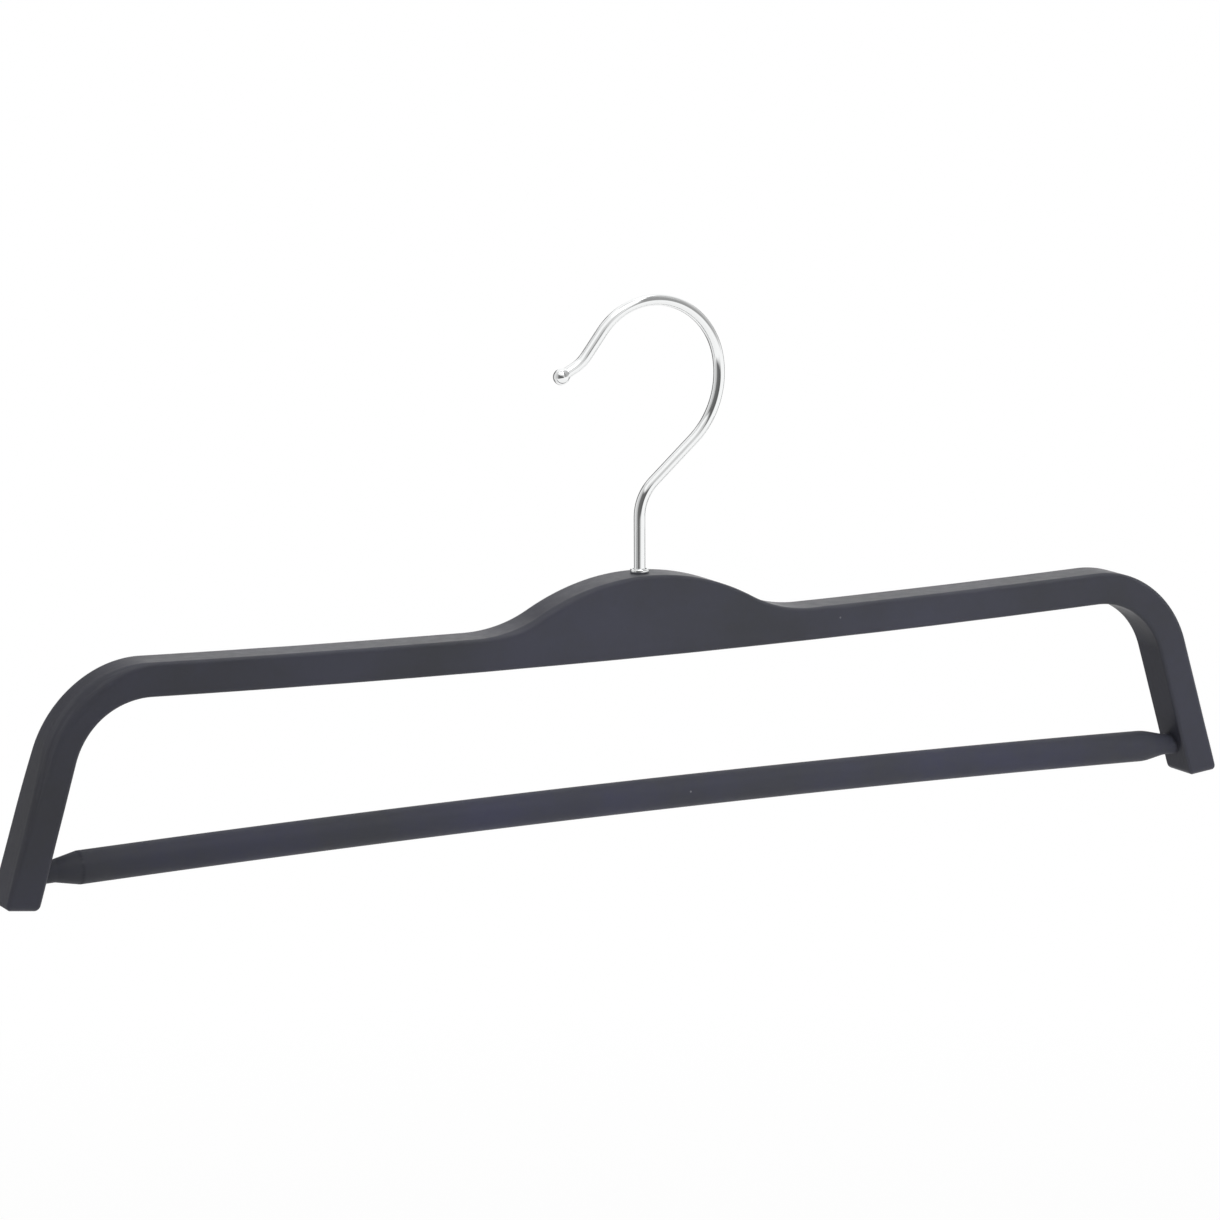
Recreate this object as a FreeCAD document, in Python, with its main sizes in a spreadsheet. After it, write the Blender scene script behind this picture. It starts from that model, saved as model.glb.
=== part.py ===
import FreeCAD, Part
import math
import os
import Sketcher

# Trouser hanger: a bent wood frame with a bar across its legs, and a wire hook that turns in its crest.
# Lengths are in millimetres, angles in degrees. The origin is the place inside the hook, on the hook's
# turning axis, where a wardrobe rail carries it. +X runs along the frame, +Y to its back, +Z up.

doc = FreeCAD.newDocument("trouser_hanger")

# Driving dimensions: name, value, meaning.
driving = (
    ("hanger_width", 417.0, "frame over the outer corners of its feet"),
    ("frame_depth", 14.0, "frame from front to back"),
    ("rail_height", 10.2, "section of rail and legs, seen from the front"),
    ("rail_radius", 5030.0, "long bow of the rail's underside"),
    ("crest_height", 25.2, "rail's underside to the top of the crest"),
    ("crest_radius", 74.0, "rounded top of the crest"),
    ("valley_radius", 43.0, "hollow between crest and rail"),
    ("corner_radius", 24.0, "inside of a corner"),
    ("leg_length", 44.3, "straight inner side of a leg"),
    ("leg_splay", 16.4, "angle of a leg away from upright"),
    ("foot_tilt", 6.5, "angle of a foot's cut away from level"),
    ("edge_round", 1.3, "rounding of the frame's edges"),
    ("bar_diameter", 10.0, "trouser bar"),
    ("bar_radius", 7100.0, "long bow of the trouser bar"),
    ("bar_lift", 10.4, "up the inner side of a leg, from its foot to the bar's axis"),
    ("bar_taper", 7.5, "length of the cone at each end of the bar"),
    ("bar_neck", 4.0, "length of the neck between cone and leg"),
    ("neck_diameter", 6.8, "neck and tenon of the bar"),
    ("tenon_length", 5.6, "length of the neck inside a leg"),
    ("tenon_clearance", 0.05, "gap round a tenon in its socket"),
    ("socket_spare", 0.5, "socket deeper than its tenon"),
    ("wire_diameter", 3.5, "wire of the hook"),
    ("shank_rise", 17.2, "straight wire above the crest"),
    ("shank_bend_radius", 14.0, "bend from the shank into the slant"),
    ("shank_bend", 48.4, "turn of that bend"),
    ("slant_length", 18.3, "straight slant of the hook"),
    ("throat_radius", 27.1, "wide lower bend of the hook"),
    ("throat_turn", 60.2, "turn of the wide bend"),
    ("crown_radius", 22.25, "upper bend of the hook, over the rail"),
    ("crown_turn", 131.1, "turn of the upper bend"),
    ("tip_straight", 8.8, "straight wire after the upper bend"),
    ("flick_radius", 12.2, "bend that turns the tip outwards"),
    ("flick_turn", 24.4, "turn of the tip"),
    ("tip_length", 5.1, "straight wire up to the ball's centre"),
    ("ball_diameter", 5.0, "ball at the hook's tip"),
    ("shank_play", 0.35, "gap round the shank in bush and washer, which lets the thread pass"),
    ("bush_wall", 0.5, "wall of the bush"),
    ("bush_length", 8.0, "sleeve of the bush inside the crest"),
    ("bush_flange", 0.35, "flange of the bush beyond its sleeve"),
    ("flange_thickness", 1.3, "flange of the bush"),
    ("flange_round", 0.5, "rounding of the flange's upper edge"),
    ("press_clearance", 0.02, "gap of a pressed or threaded fit, drawn at its middle line"),
    ("recess_depth", 9.0, "recess under the crest for washer and nut"),
    ("recess_clearance", 0.5, "gap between washer and recess"),
    ("washer_diameter", 9.0, "washer under the crest"),
    ("washer_thickness", 0.8, "washer under the crest"),
    ("nut_flats", 7.0, "lock nut across its flats"),
    ("nut_height", 3.2, "six-sided part of the lock nut"),
    ("nut_collar", 6.4, "diameter of the round collar below it"),
    ("collar_height", 1.8, "round collar of the lock nut"),
    ("collar_round", 0.5, "rounding of the collar's edge"),
    ("nut_chamfer", 30.0, "angle of the chamfer on the nut's corners"),
    ("ring_wall", 0.75, "wall of the nylon ring in the collar"),
    ("ring_height", 1.2, "nylon ring in the collar"),
    ("ring_lip", 0.35, "lip of the collar below the nylon ring"),
    ("lip_reach", 0.4, "lip of the collar in over the nylon ring"),
    ("thread_stub", 1.6, "wire's end below the nut"),
    ("end_chamfer", 0.5, "chamfer on the wire's lower end and on the tenons"),
    ("overrun", 2.0, "cuts run this far past the face that they start from"),
)
sizes = doc.addObject("Spreadsheet::Sheet", "sizes")
for row, (name, value, meaning) in enumerate(driving, start=1):
    sizes.set(f"A{row}", meaning)
    sizes.set(f"B{row}", str(value))
    sizes.setAlias(f"B{row}", name)
doc.recompute()

# Formulas that several sketches share. Heights are counted from the middle of the rail's underside.
foot_run = "(sizes.rail_height * cos(sizes.foot_tilt) / cos(sizes.leg_splay - sizes.foot_tilt))"
corner_x = (
    "(sizes.hanger_width / 2 - sizes.corner_radius * cos(sizes.leg_splay)"
    f" - sizes.leg_length * sin(sizes.leg_splay) - {foot_run})"
)
corner_z = f"(sizes.rail_radius - sqrt((sizes.rail_radius + sizes.corner_radius)^2 - {corner_x}^2))"
# Where the bar's axis meets the inner side of a leg, and how far the axis dips there.
seat_run = "(sizes.leg_length - sizes.bar_lift)"
seat_x = f"({corner_x} + sizes.corner_radius * cos(sizes.leg_splay) + {seat_run} * sin(sizes.leg_splay))"
seat_z = f"({corner_z} + sizes.corner_radius * sin(sizes.leg_splay) - {seat_run} * cos(sizes.leg_splay))"
bar_end = "(sizes.bar_taper + sizes.bar_neck)"
bar_tilt = f"(asin({seat_x} / sqrt(sizes.bar_radius^2 + {bar_end}^2)) - atan({bar_end} / sizes.bar_radius))"
bar_middle = f"({bar_end} * sin({bar_tilt}) + sizes.bar_radius * (1 - cos({bar_tilt})) + {seat_z})"
neck_radius = "(sizes.neck_diameter / 2)"
bar_radius_across = "(sizes.bar_diameter / 2)"
# The stack in the recess, from its ceiling down to the wire's end.
washer_z = "(sizes.recess_depth - sizes.washer_thickness)"
nut_z = f"({washer_z} - sizes.nut_height - sizes.collar_height)"
wire_end_z = f"({nut_z} - sizes.thread_stub)"
# The hook's wire, counted from its lower end.
wire_radius = "(sizes.wire_diameter / 2)"
thread_radius = f"({wire_radius} + sizes.press_clearance)"
shank_hole = f"({wire_radius} + sizes.shank_play)"
shank_length = f"(sizes.shank_rise + sizes.crest_height - {wire_end_z})"
crown_x = (
    "(sizes.shank_bend_radius * (1 - cos(sizes.shank_bend)) + sizes.slant_length * sin(sizes.shank_bend)"
    " - sizes.throat_radius * cos(sizes.shank_bend)"
    " + (sizes.throat_radius - sizes.crown_radius) * cos(sizes.throat_turn - sizes.shank_bend))"
)
crown_z = (
    f"({shank_length} + sizes.shank_bend_radius * sin(sizes.shank_bend)"
    " + sizes.slant_length * cos(sizes.shank_bend) + sizes.throat_radius * sin(sizes.shank_bend)"
    " + (sizes.throat_radius - sizes.crown_radius) * sin(sizes.throat_turn - sizes.shank_bend))"
)
hook_z = f"(-{crown_z} - sqrt((sizes.crown_radius - {wire_radius})^2 - {crown_x}^2))"
frame_z = f"({hook_z} - {wire_end_z})"
# Bush and nut.
sleeve_radius = f"({shank_hole} + sizes.bush_wall)"
flange_radius = f"({sleeve_radius} + sizes.bush_flange)"
recess_radius = "(sizes.washer_diameter / 2 + sizes.recess_clearance)"
ring_radius = f"({thread_radius} + sizes.ring_wall)"
lip_radius = f"({ring_radius} - sizes.lip_reach)"
nut_total = "(sizes.nut_height + sizes.collar_height)"
chamfer_share = 0.95  # top face of the nut inside its chamfer, as a share of the flats
nut_turn = 15  # degrees by which the nut's corners stand off the frame's length
near_share = 0.01  # how far apart two places may be to count as one, as a share of the edge rounding


def number(formula):
    return float(sizes.evalExpression(formula))


def point(x, y):
    return FreeCAD.Vector(x, y, 0)


def towards(start, angle, length):
    # The point at a length from the start, at an angle in degrees from the sketch's first axis.
    turn = math.radians(angle)
    return start + point(math.cos(turn), math.sin(turn)) * length


def new_body(label, height):
    # A sub-part whose own zero lies on the hook's axis, at a height given by a formula.
    body = doc.addObject("PartDesign::Body", label)
    body.Label = label
    body.setExpression("Placement.Base.z", height)
    return body


def origin_plane(body, role):
    return next(feature for feature in body.Origin.OriginFeatures if feature.Role == role)


def new_sketch(body, name, role):
    sketch = body.newObject("Sketcher::SketchObject", name)
    sketch.AttachmentSupport = [(origin_plane(body, role), "")]
    sketch.MapMode = "FlatFace"
    return sketch


# Lines and arcs are handed on as (index, entry point, exit point) in the order that an outline runs.
def add_line(sketch, start, end, guide=False):
    return sketch.addGeometry(Part.LineSegment(start, end), guide), 1, 2


def add_arc(sketch, centre, start, end, clockwise):
    first, last = (end, start) if clockwise else (start, end)
    angles = [math.atan2(p.y - centre.y, p.x - centre.x) for p in (first, last)]
    circle = Part.Circle(centre, FreeCAD.Vector(0, 0, 1), (start - centre).Length)
    index = sketch.addGeometry(Part.ArcOfCircle(circle, *angles), False)
    return (index, 2, 1) if clockwise else (index, 1, 2)


def add_circle(sketch, radius):
    # A circle about the sketch's zero, with its radius bound to a formula.
    circle = Part.Circle(point(0, 0), FreeCAD.Vector(0, 0, 1), number(radius))
    index = sketch.addGeometry(circle, False)
    sketch.addConstraint(Sketcher.Constraint("Coincident", index, 3, -1, 1))
    bind(sketch, radius, "Radius", index)


def add_polygon(sketch, corners):
    # Closed straight outline: each corner is a pair of formulas, for both of the sketch's axes.
    spots = [point(number(x), number(y)) for x, y in corners]
    lines = [add_line(sketch, a, b) for a, b in zip(spots, spots[1:] + spots[:1])]
    link(sketch, lines + lines[:1])
    for (index, entry, _), (x, y) in zip(lines, corners):
        pin(sketch, (index, entry), x, y)
    return lines


def link(sketch, edges, smooth=()):
    # Joins each edge to the next one, without a kink where the first of the two is listed as smooth.
    for before, after in zip(edges, edges[1:]):
        kind = "Tangent" if before in smooth else "Coincident"
        sketch.addConstraint(Sketcher.Constraint(kind, before[0], before[2], after[0], after[1]))


def bind(sketch, formula, kind, *places):
    # A dimension whose value follows a formula. Angles are held in radians and bound in degrees.
    value = number(formula)
    start = math.radians(value) if kind == "Angle" else value
    index = sketch.addConstraint(Sketcher.Constraint(kind, *places, start))
    sketch.setExpression(f"Constraints[{index}]", formula)


def pin(sketch, place, x, y):
    # Holds a point at two formulas; a zero lies on the axis itself.
    for kind, axis, formula in (("DistanceX", -2, x), ("DistanceY", -1, y)):
        if formula == "0":
            sketch.addConstraint(Sketcher.Constraint("PointOnObject", *place, axis))
        else:
            bind(sketch, formula, kind, -1, 1, *place)


def upright_axis(body):
    return next(feature for feature in body.Origin.OriginFeatures if feature.Role == "Z_Axis"), [""]


def axis_along(sketch, line):
    # A guide line on one line of the sketch, for turning the outline about it.
    edge = sketch.Geometry[line[0]]
    guide = add_line(sketch, edge.StartPoint, edge.EndPoint, guide=True)
    for end in (1, 2):
        sketch.addConstraint(Sketcher.Constraint("Coincident", guide[0], end, line[0], end))
    return sketch, ["Axis0"]


def turned(body, name, kind, sketch, axis):
    # A full turn of a sketch about an axis: a Revolution is added, a Groove is cut away.
    feature = body.newObject(f"PartDesign::{kind}", name)
    feature.Profile = sketch
    feature.ReferenceAxis = axis
    feature.Angle = 360.0
    doc.recompute()
    return feature


def dressed(body, name, kind, base, size, formula, chosen):
    # A Fillet or Chamfer on those edges of a feature that a test chooses by their boxes.
    names = [f"Edge{index}" for index, edge in enumerate(base.Shape.Edges, start=1) if chosen(edge.BoundBox)]
    feature = body.newObject(f"PartDesign::{kind}", name)
    feature.Base = (base, names)
    feature.setExpression(size, formula)
    doc.recompute()
    return feature


def mirrored(body, name, originals):
    feature = body.newObject("PartDesign::Mirrored", name)
    feature.Originals = originals
    feature.MirrorPlane = (origin_plane(body, "YZ_Plane"), [""])
    body.Tip = feature
    doc.recompute()
    return feature


def swept(body, name, profile, path):
    feature = body.newObject("PartDesign::AdditivePipe", name)
    feature.Profile = profile
    feature.Spine = (path, [f"Edge{index + 1}" for index in range(path.GeometryCount)])
    doc.recompute()
    return feature


def dipping(start_x, start_z, stations):
    # Corners along the bar's dipping end and out from its axis, as formulas in the sketch's own axes.
    return [
        (
            f"({start_x} + {along} * cos({bar_tilt}) + {out} * sin({bar_tilt}))",
            f"({start_z} - {along} * sin({bar_tilt}) + {out} * cos({bar_tilt}))",
        )
        for along, out in stations
    ]


def near(a, b):
    # Whether two places agree, within a small share of the rounding of the frame's edges.
    return abs(a - b) < number("sizes.edge_round") * near_share


def make_frame():
    # Half of the outline, from the top of the crest round the leg and back along the underside.
    body = new_body("frame", frame_z)
    outline = new_sketch(body, "frame_outline", "XZ_Plane")
    rail_height = number("sizes.rail_height")
    rail_radius = number("sizes.rail_radius")
    crest_radius = number("sizes.crest_radius")
    valley_radius = number("sizes.valley_radius")
    corner_radius = number("sizes.corner_radius")
    splay = number("sizes.leg_splay")
    top = point(0, number("sizes.crest_height"))
    crest_centre = top - point(0, crest_radius)
    rail_centre = point(0, rail_radius)
    # The valley touches the crest from outside and the rail's upper face from inside.
    reach = crest_radius + valley_radius
    inside = rail_radius - rail_height - valley_radius
    lift = (reach**2 - inside**2 - crest_centre.y**2 + rail_radius**2) / (rail_radius - crest_centre.y) / 2
    valley_centre = point(math.sqrt(reach**2 - (lift - crest_centre.y) ** 2), lift)
    crest_end = crest_centre + (valley_centre - crest_centre) * (crest_radius / reach)
    valley_end = rail_centre + (valley_centre - rail_centre) * ((rail_radius - rail_height) / inside)
    corner_centre = point(number(corner_x), number(corner_z))
    outwards = (corner_centre - rail_centre).normalize()
    rail_end = rail_centre + outwards * (rail_radius - rail_height)
    underside_end = rail_centre + outwards * rail_radius
    outer_start = towards(corner_centre, splay, corner_radius + rail_height)
    inner_end = towards(corner_centre, splay, corner_radius)
    heel = towards(inner_end, splay - 90, number("sizes.leg_length"))
    toe = heel + point(1, math.tan(math.radians(number("sizes.foot_tilt")))) * number(foot_run)

    crest = add_arc(outline, crest_centre, top, crest_end, True)
    valley = add_arc(outline, valley_centre, crest_end, valley_end, False)
    rail_top = add_arc(outline, rail_centre, valley_end, rail_end, False)
    corner_outer = add_arc(outline, corner_centre, rail_end, outer_start, True)
    leg_outer = add_line(outline, outer_start, toe)
    foot = add_line(outline, toe, heel)
    leg_inner = add_line(outline, heel, inner_end)
    corner_inner = add_arc(outline, corner_centre, inner_end, underside_end, False)
    underside = add_arc(outline, rail_centre, underside_end, point(0, 0), True)
    middle = add_line(outline, point(0, 0), top)
    smooth = [crest, valley, rail_top, corner_outer, leg_inner, corner_inner]
    upper = [crest, valley, rail_top, corner_outer, leg_outer]
    lower = [foot, leg_inner, corner_inner, underside, middle]
    link(outline, upper + lower + upper[:1], smooth)
    outline.addConstraint([
        Sketcher.Constraint("Coincident", middle[0], 1, -1, 1),
        Sketcher.Constraint("PointOnObject", middle[0], 2, -2),
        Sketcher.Constraint("PointOnObject", crest[0], 3, -2),
        Sketcher.Constraint("PointOnObject", underside[0], 3, -2),
        Sketcher.Constraint("Coincident", rail_top[0], 3, underside[0], 3),
        Sketcher.Constraint("Coincident", corner_outer[0], 3, corner_inner[0], 3),
        Sketcher.Constraint("Parallel", leg_outer[0], leg_inner[0]),
    ])
    bind(outline, "sizes.crest_height", "DistanceY", middle[0], 1, middle[0], 2)
    bind(outline, "sizes.crest_radius", "Radius", crest[0])
    bind(outline, "sizes.valley_radius", "Radius", valley[0])
    bind(outline, "sizes.rail_radius", "Radius", underside[0])
    bind(outline, "sizes.corner_radius", "Radius", corner_inner[0])
    bind(outline, "sizes.corner_radius + sizes.rail_height", "Radius", corner_outer[0])
    bind(outline, "sizes.leg_length", "Distance", leg_inner[0])
    bind(outline, "sizes.hanger_width / 2", "DistanceX", -1, 1, foot[0], 1)
    bind(outline, "sizes.leg_length * sin(sizes.leg_splay)", "DistanceX", leg_inner[0], 2, leg_inner[0], 1)
    bind(outline, foot_run, "DistanceX", foot[0], 2, foot[0], 1)

    half = body.newObject("PartDesign::Pad", "frame_half")
    half.Profile = outline
    half.setExpression("Length", "sizes.frame_depth")
    half.SideType = "Symmetric"

    # Socket for a tenon of the bar, on the line that the bar's end follows into the leg.
    socket = new_sketch(body, "socket_outline", "XZ_Plane")
    socket_floor = "(sizes.tenon_length + sizes.socket_spare)"
    socket_radius = f"({neck_radius} + sizes.tenon_clearance)"
    socket_lines = add_polygon(socket, dipping(seat_x, seat_z, [
        ("-sizes.overrun", "0"),
        (socket_floor, "0"),
        (socket_floor, socket_radius),
        ("-sizes.overrun", socket_radius),
    ]))
    drilled = turned(body, "bar_socket", "Groove", socket, axis_along(socket, socket_lines[0]))
    whole = mirrored(body, "frame_whole", [half, drilled])

    # Rounded edges: the whole outline on both faces, and the long edges of the feet.
    face_y = number("sizes.frame_depth / 2")

    def rounded(box):
        on_face = near(abs(box.YMin), face_y) and near(box.YMin, box.YMax)
        on_foot = box.ZMax < toe.y or near(box.ZMax, toe.y)
        return on_face or on_foot

    dressed(body, "frame_rounds", "Fillet", whole, "Radius", "sizes.edge_round", rounded)

    # Stepped hole on the hook's axis: bush, wire, and the recess for washer and nut.
    hole = new_sketch(body, "hook_hole_outline", "XZ_Plane")
    bush_hole = f"({sleeve_radius} + sizes.press_clearance)"
    bush_floor = "(sizes.crest_height - sizes.bush_length - sizes.press_clearance)"
    above = "(sizes.crest_height + sizes.overrun)"
    add_polygon(hole, [
        ("0", above),
        ("0", "-sizes.overrun"),
        (recess_radius, "-sizes.overrun"),
        (recess_radius, "sizes.recess_depth"),
        (shank_hole, "sizes.recess_depth"),
        (shank_hole, bush_floor),
        (bush_hole, bush_floor),
        (bush_hole, above),
    ])
    turned(body, "hook_hole", "Groove", hole, upright_axis(body))
    return body


def make_bar():
    # Half of the bar is swept along its bow from the middle; its cone, neck and tenon are turned.
    body = new_body("trouser_bar", f"{frame_z} + {bar_middle}")
    centre = point(0, -number("sizes.bar_radius"))
    bow_end = towards(centre, 90 - number(bar_tilt), number("sizes.bar_radius"))
    path = new_sketch(body, "bar_bow", "XZ_Plane")
    bow = add_arc(path, centre, point(0, 0), bow_end, True)
    path.addConstraint(Sketcher.Constraint("PointOnObject", bow[0], 3, -2))
    path.addConstraint(Sketcher.Constraint("Coincident", bow[0], bow[1], -1, 1))
    bind(path, "sizes.bar_radius", "Radius", bow[0])
    bind(path, bar_tilt, "Angle", bow[0])
    section = new_sketch(body, "bar_section", "YZ_Plane")
    add_circle(section, bar_radius_across)
    half = swept(body, "bar_half", section, path)

    end = new_sketch(body, "bar_end_outline", "XZ_Plane")
    length = f"({bar_end} + sizes.tenon_length)"
    bow_end_x = f"sizes.bar_radius * sin({bar_tilt})"
    bow_end_z = f"-sizes.bar_radius * (1 - cos({bar_tilt}))"
    end_lines = add_polygon(end, dipping(bow_end_x, bow_end_z, [
        ("0", "0"),
        (length, "0"),
        (length, f"({neck_radius} - sizes.end_chamfer)"),
        (f"({length} - sizes.end_chamfer)", neck_radius),
        ("sizes.bar_taper", neck_radius),
        ("0", bar_radius_across),
    ]))
    taper = turned(body, "bar_end", "Revolution", end, axis_along(end, end_lines[0]))
    mirrored(body, "bar_whole", [half, taper])
    return body


def make_hook():
    # The wire's centre line: shank, slant, wide bend, upper bend, and the tip with its flick.
    # A straight run has a length; a bend has a radius and a turn, positive to the left.
    runs = (
        {"length": shank_length},
        {"radius": "sizes.shank_bend_radius", "turn": "-sizes.shank_bend"},
        {"length": "sizes.slant_length"},
        {"radius": "sizes.throat_radius", "turn": "sizes.throat_turn"},
        {"radius": "sizes.crown_radius", "turn": "sizes.crown_turn"},
        {"length": "sizes.tip_straight"},
        {"radius": "sizes.flick_radius", "turn": "-sizes.flick_turn"},
        {"length": "sizes.tip_length"},
    )
    body = new_body("hook", hook_z)
    path = new_sketch(body, "hook_line", "XZ_Plane")
    spot = point(0, 0)
    heading = 90.0
    edges = []
    for run in runs:
        if "length" in run:
            ahead = towards(spot, heading, number(run["length"]))
            edges.append(add_line(path, spot, ahead))
        else:
            side = math.copysign(90, number(run["turn"]))
            centre = towards(spot, heading + side, number(run["radius"]))
            heading += number(run["turn"])
            ahead = towards(centre, heading - side, number(run["radius"]))
            edges.append(add_arc(path, centre, spot, ahead, side < 0))
        spot = ahead
    link(path, edges, smooth=edges)
    path.addConstraint(Sketcher.Constraint("Coincident", edges[0][0], 1, -1, 1))
    path.addConstraint(Sketcher.Constraint("PointOnObject", edges[0][0], 2, -2))
    for (index, _, _), run in zip(edges, runs):
        if "length" in run:
            bind(path, run["length"], "Distance", index)
        else:
            bind(path, run["radius"], "Radius", index)
            bind(path, f"abs({run['turn']})", "Angle", index)
    section = new_sketch(body, "wire_section", "XY_Plane")
    add_circle(section, wire_radius)
    wire = swept(body, "wire", section, path)
    dressed(
        body, "wire_end", "Chamfer", wire, "Size", "sizes.end_chamfer",
        lambda box: near(box.ZMin, 0) and near(box.ZMax, 0),
    )

    # Ball on the tip: a half circle about the end of the wire's line, turned about its upright diameter.
    ball = new_sketch(body, "ball_outline", "XZ_Plane")
    ball.addExternal(path.Name, f"Edge{len(runs)}")
    radius = point(0, number("sizes.ball_diameter / 2"))
    half = add_arc(ball, spot, spot - radius, spot + radius, False)
    chord = add_line(ball, spot + radius, spot - radius)
    link(ball, [half, chord, half])
    ball.addConstraint(Sketcher.Constraint("Coincident", half[0], 3, -3, 2))
    ball.addConstraint(Sketcher.Constraint("PointOnObject", half[0], 3, chord[0]))
    ball.addConstraint(Sketcher.Constraint("Vertical", chord[0]))
    bind(ball, "sizes.ball_diameter / 2", "Radius", half[0])
    turned(body, "ball", "Revolution", ball, axis_along(ball, chord))
    return body


def make_ring(label, height, corners):
    # A round piece on the hook's axis, turned from its outline.
    body = new_body(label, height)
    outline = new_sketch(body, f"{label}_outline", "XZ_Plane")
    add_polygon(outline, corners)
    return body, turned(body, f"{label}_turned", "Revolution", outline, upright_axis(body))


def make_bush():
    # Sleeve in the crest, with a flange that lies on the crest's top.
    body, blank = make_ring("hook_bush", f"{frame_z} + sizes.crest_height", [
        (shank_hole, "-sizes.bush_length"),
        (sleeve_radius, "-sizes.bush_length"),
        (sleeve_radius, "0"),
        (flange_radius, "0"),
        (flange_radius, "sizes.flange_thickness"),
        (shank_hole, "sizes.flange_thickness"),
    ])
    top = number("sizes.flange_thickness")
    reach = number(flange_radius)
    dressed(
        body, "flange_edge", "Fillet", blank, "Radius", "sizes.flange_round",
        lambda box: near(box.ZMin, top) and near(box.ZMax, top) and near(box.XMax, reach),
    )
    return body


def make_washer():
    return make_ring("washer", f"{frame_z} + {washer_z}", [
        (shank_hole, "0"),
        ("sizes.washer_diameter / 2", "0"),
        ("sizes.washer_diameter / 2", "sizes.washer_thickness"),
        (shank_hole, "sizes.washer_thickness"),
    ])[0]


def make_lock_ring():
    return make_ring("lock_ring", f"{frame_z} + {nut_z}", [
        (thread_radius, "sizes.ring_lip"),
        (ring_radius, "sizes.ring_lip"),
        (ring_radius, "sizes.ring_lip + sizes.ring_height"),
        (thread_radius, "sizes.ring_lip + sizes.ring_height"),
    ])[0]


def make_nut():
    # Six-sided nut with a round collar below it, which holds the nylon ring behind a small lip.
    body = new_body("lock_nut", f"{frame_z} + {nut_z}")
    outline = new_sketch(body, "nut_outline", "XY_Plane")
    nut_corner = "(sizes.nut_flats / sqrt(3))"
    angles = [nut_turn + side * 60 for side in range(6)]
    add_polygon(outline, [(f"{nut_corner} * cos({a})", f"{nut_corner} * sin({a})") for a in angles])
    blank = body.newObject("PartDesign::Pad", "nut_blank")
    blank.Profile = outline
    blank.setExpression("Length", nut_total)
    doc.recompute()

    # One turned cut takes off the collar's outside, chamfers the corners and bores the nut.
    cuts = new_sketch(body, "nut_cuts", "XZ_Plane")
    clear = f"({nut_corner} + sizes.overrun)"
    bevel_start = f"(sizes.nut_flats / 2 * {chamfer_share})"
    bevel_drop = f"(({clear} - {bevel_start}) * tan(sizes.nut_chamfer))"
    add_polygon(cuts, [
        ("sizes.nut_collar / 2", "-sizes.overrun"),
        (clear, "-sizes.overrun"),
        (clear, "sizes.collar_height"),
        ("sizes.nut_collar / 2", "sizes.collar_height"),
    ])
    add_polygon(cuts, [
        (bevel_start, nut_total),
        (clear, f"{nut_total} - {bevel_drop}"),
        (clear, nut_total),
    ])
    seat_radius = f"({ring_radius} + sizes.press_clearance)"
    seat_top = "(sizes.ring_lip + sizes.ring_height + sizes.press_clearance)"
    seat_floor = "(sizes.ring_lip - sizes.press_clearance)"
    add_polygon(cuts, [
        ("0", "-sizes.overrun"),
        (lip_radius, "-sizes.overrun"),
        (lip_radius, seat_floor),
        (seat_radius, seat_floor),
        (seat_radius, seat_top),
        (thread_radius, seat_top),
        (thread_radius, f"{nut_total} + sizes.overrun"),
        ("0", f"{nut_total} + sizes.overrun"),
    ])
    cut = turned(body, "nut_turned", "Groove", cuts, upright_axis(body))
    reach = number("sizes.nut_collar / 2")
    dressed(
        body, "collar_edge", "Fillet", cut, "Radius", "sizes.collar_round",
        lambda box: near(box.ZMin, 0) and near(box.ZMax, 0) and near(box.XMax, reach),
    )
    return body


pieces = [
    make_frame(),
    make_bar(),
    make_hook(),
    make_bush(),
    make_washer(),
    make_nut(),
    make_lock_ring(),
]
doc.recompute()

for item in doc.Objects:
    if "Invalid" in item.State or "Error" in item.State:
        raise RuntimeError(f"{item.Label} failed: {item.State}")
for piece in pieces:
    if piece.Shape.isNull() or not piece.Shape.isValid() or len(piece.Shape.Solids) != 1:
        raise RuntimeError(f"{piece.Label} isn't one valid solid")

os.makedirs("parts", exist_ok=True)
for piece in pieces:
    piece.Shape.exportStep(f"parts/{piece.Label}.step")
    print(piece.Label, round(piece.Shape.Volume, 1), "cubic millimetres")
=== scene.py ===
import math

import bmesh
import bpy
import numpy as np
from mathutils import Matrix, Vector


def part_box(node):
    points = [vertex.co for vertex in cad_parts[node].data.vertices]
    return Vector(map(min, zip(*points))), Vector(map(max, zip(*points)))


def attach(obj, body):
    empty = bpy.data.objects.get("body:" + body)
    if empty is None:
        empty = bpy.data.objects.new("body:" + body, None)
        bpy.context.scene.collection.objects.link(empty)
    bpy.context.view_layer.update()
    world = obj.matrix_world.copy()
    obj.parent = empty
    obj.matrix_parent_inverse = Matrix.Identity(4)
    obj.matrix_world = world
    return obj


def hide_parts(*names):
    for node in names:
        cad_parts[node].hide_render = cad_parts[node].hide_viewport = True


# Trouser hanger: lacquered wood bow and bar, chromed wire hook that turns in the crest.
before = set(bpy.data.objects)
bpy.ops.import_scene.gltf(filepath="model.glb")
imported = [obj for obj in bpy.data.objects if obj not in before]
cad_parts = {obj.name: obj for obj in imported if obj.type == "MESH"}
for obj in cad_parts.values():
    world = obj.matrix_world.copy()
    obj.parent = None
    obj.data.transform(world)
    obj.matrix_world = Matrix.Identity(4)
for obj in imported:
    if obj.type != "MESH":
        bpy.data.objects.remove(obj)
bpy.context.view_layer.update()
print("frame loaded:", ", ".join(sorted(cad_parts)))

mm = 0.001  # shapes are worked out in millimetres and stored in metres
sharpRound = 0.02  # rounding of an edge that looks sharp


# Shape helpers

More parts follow.
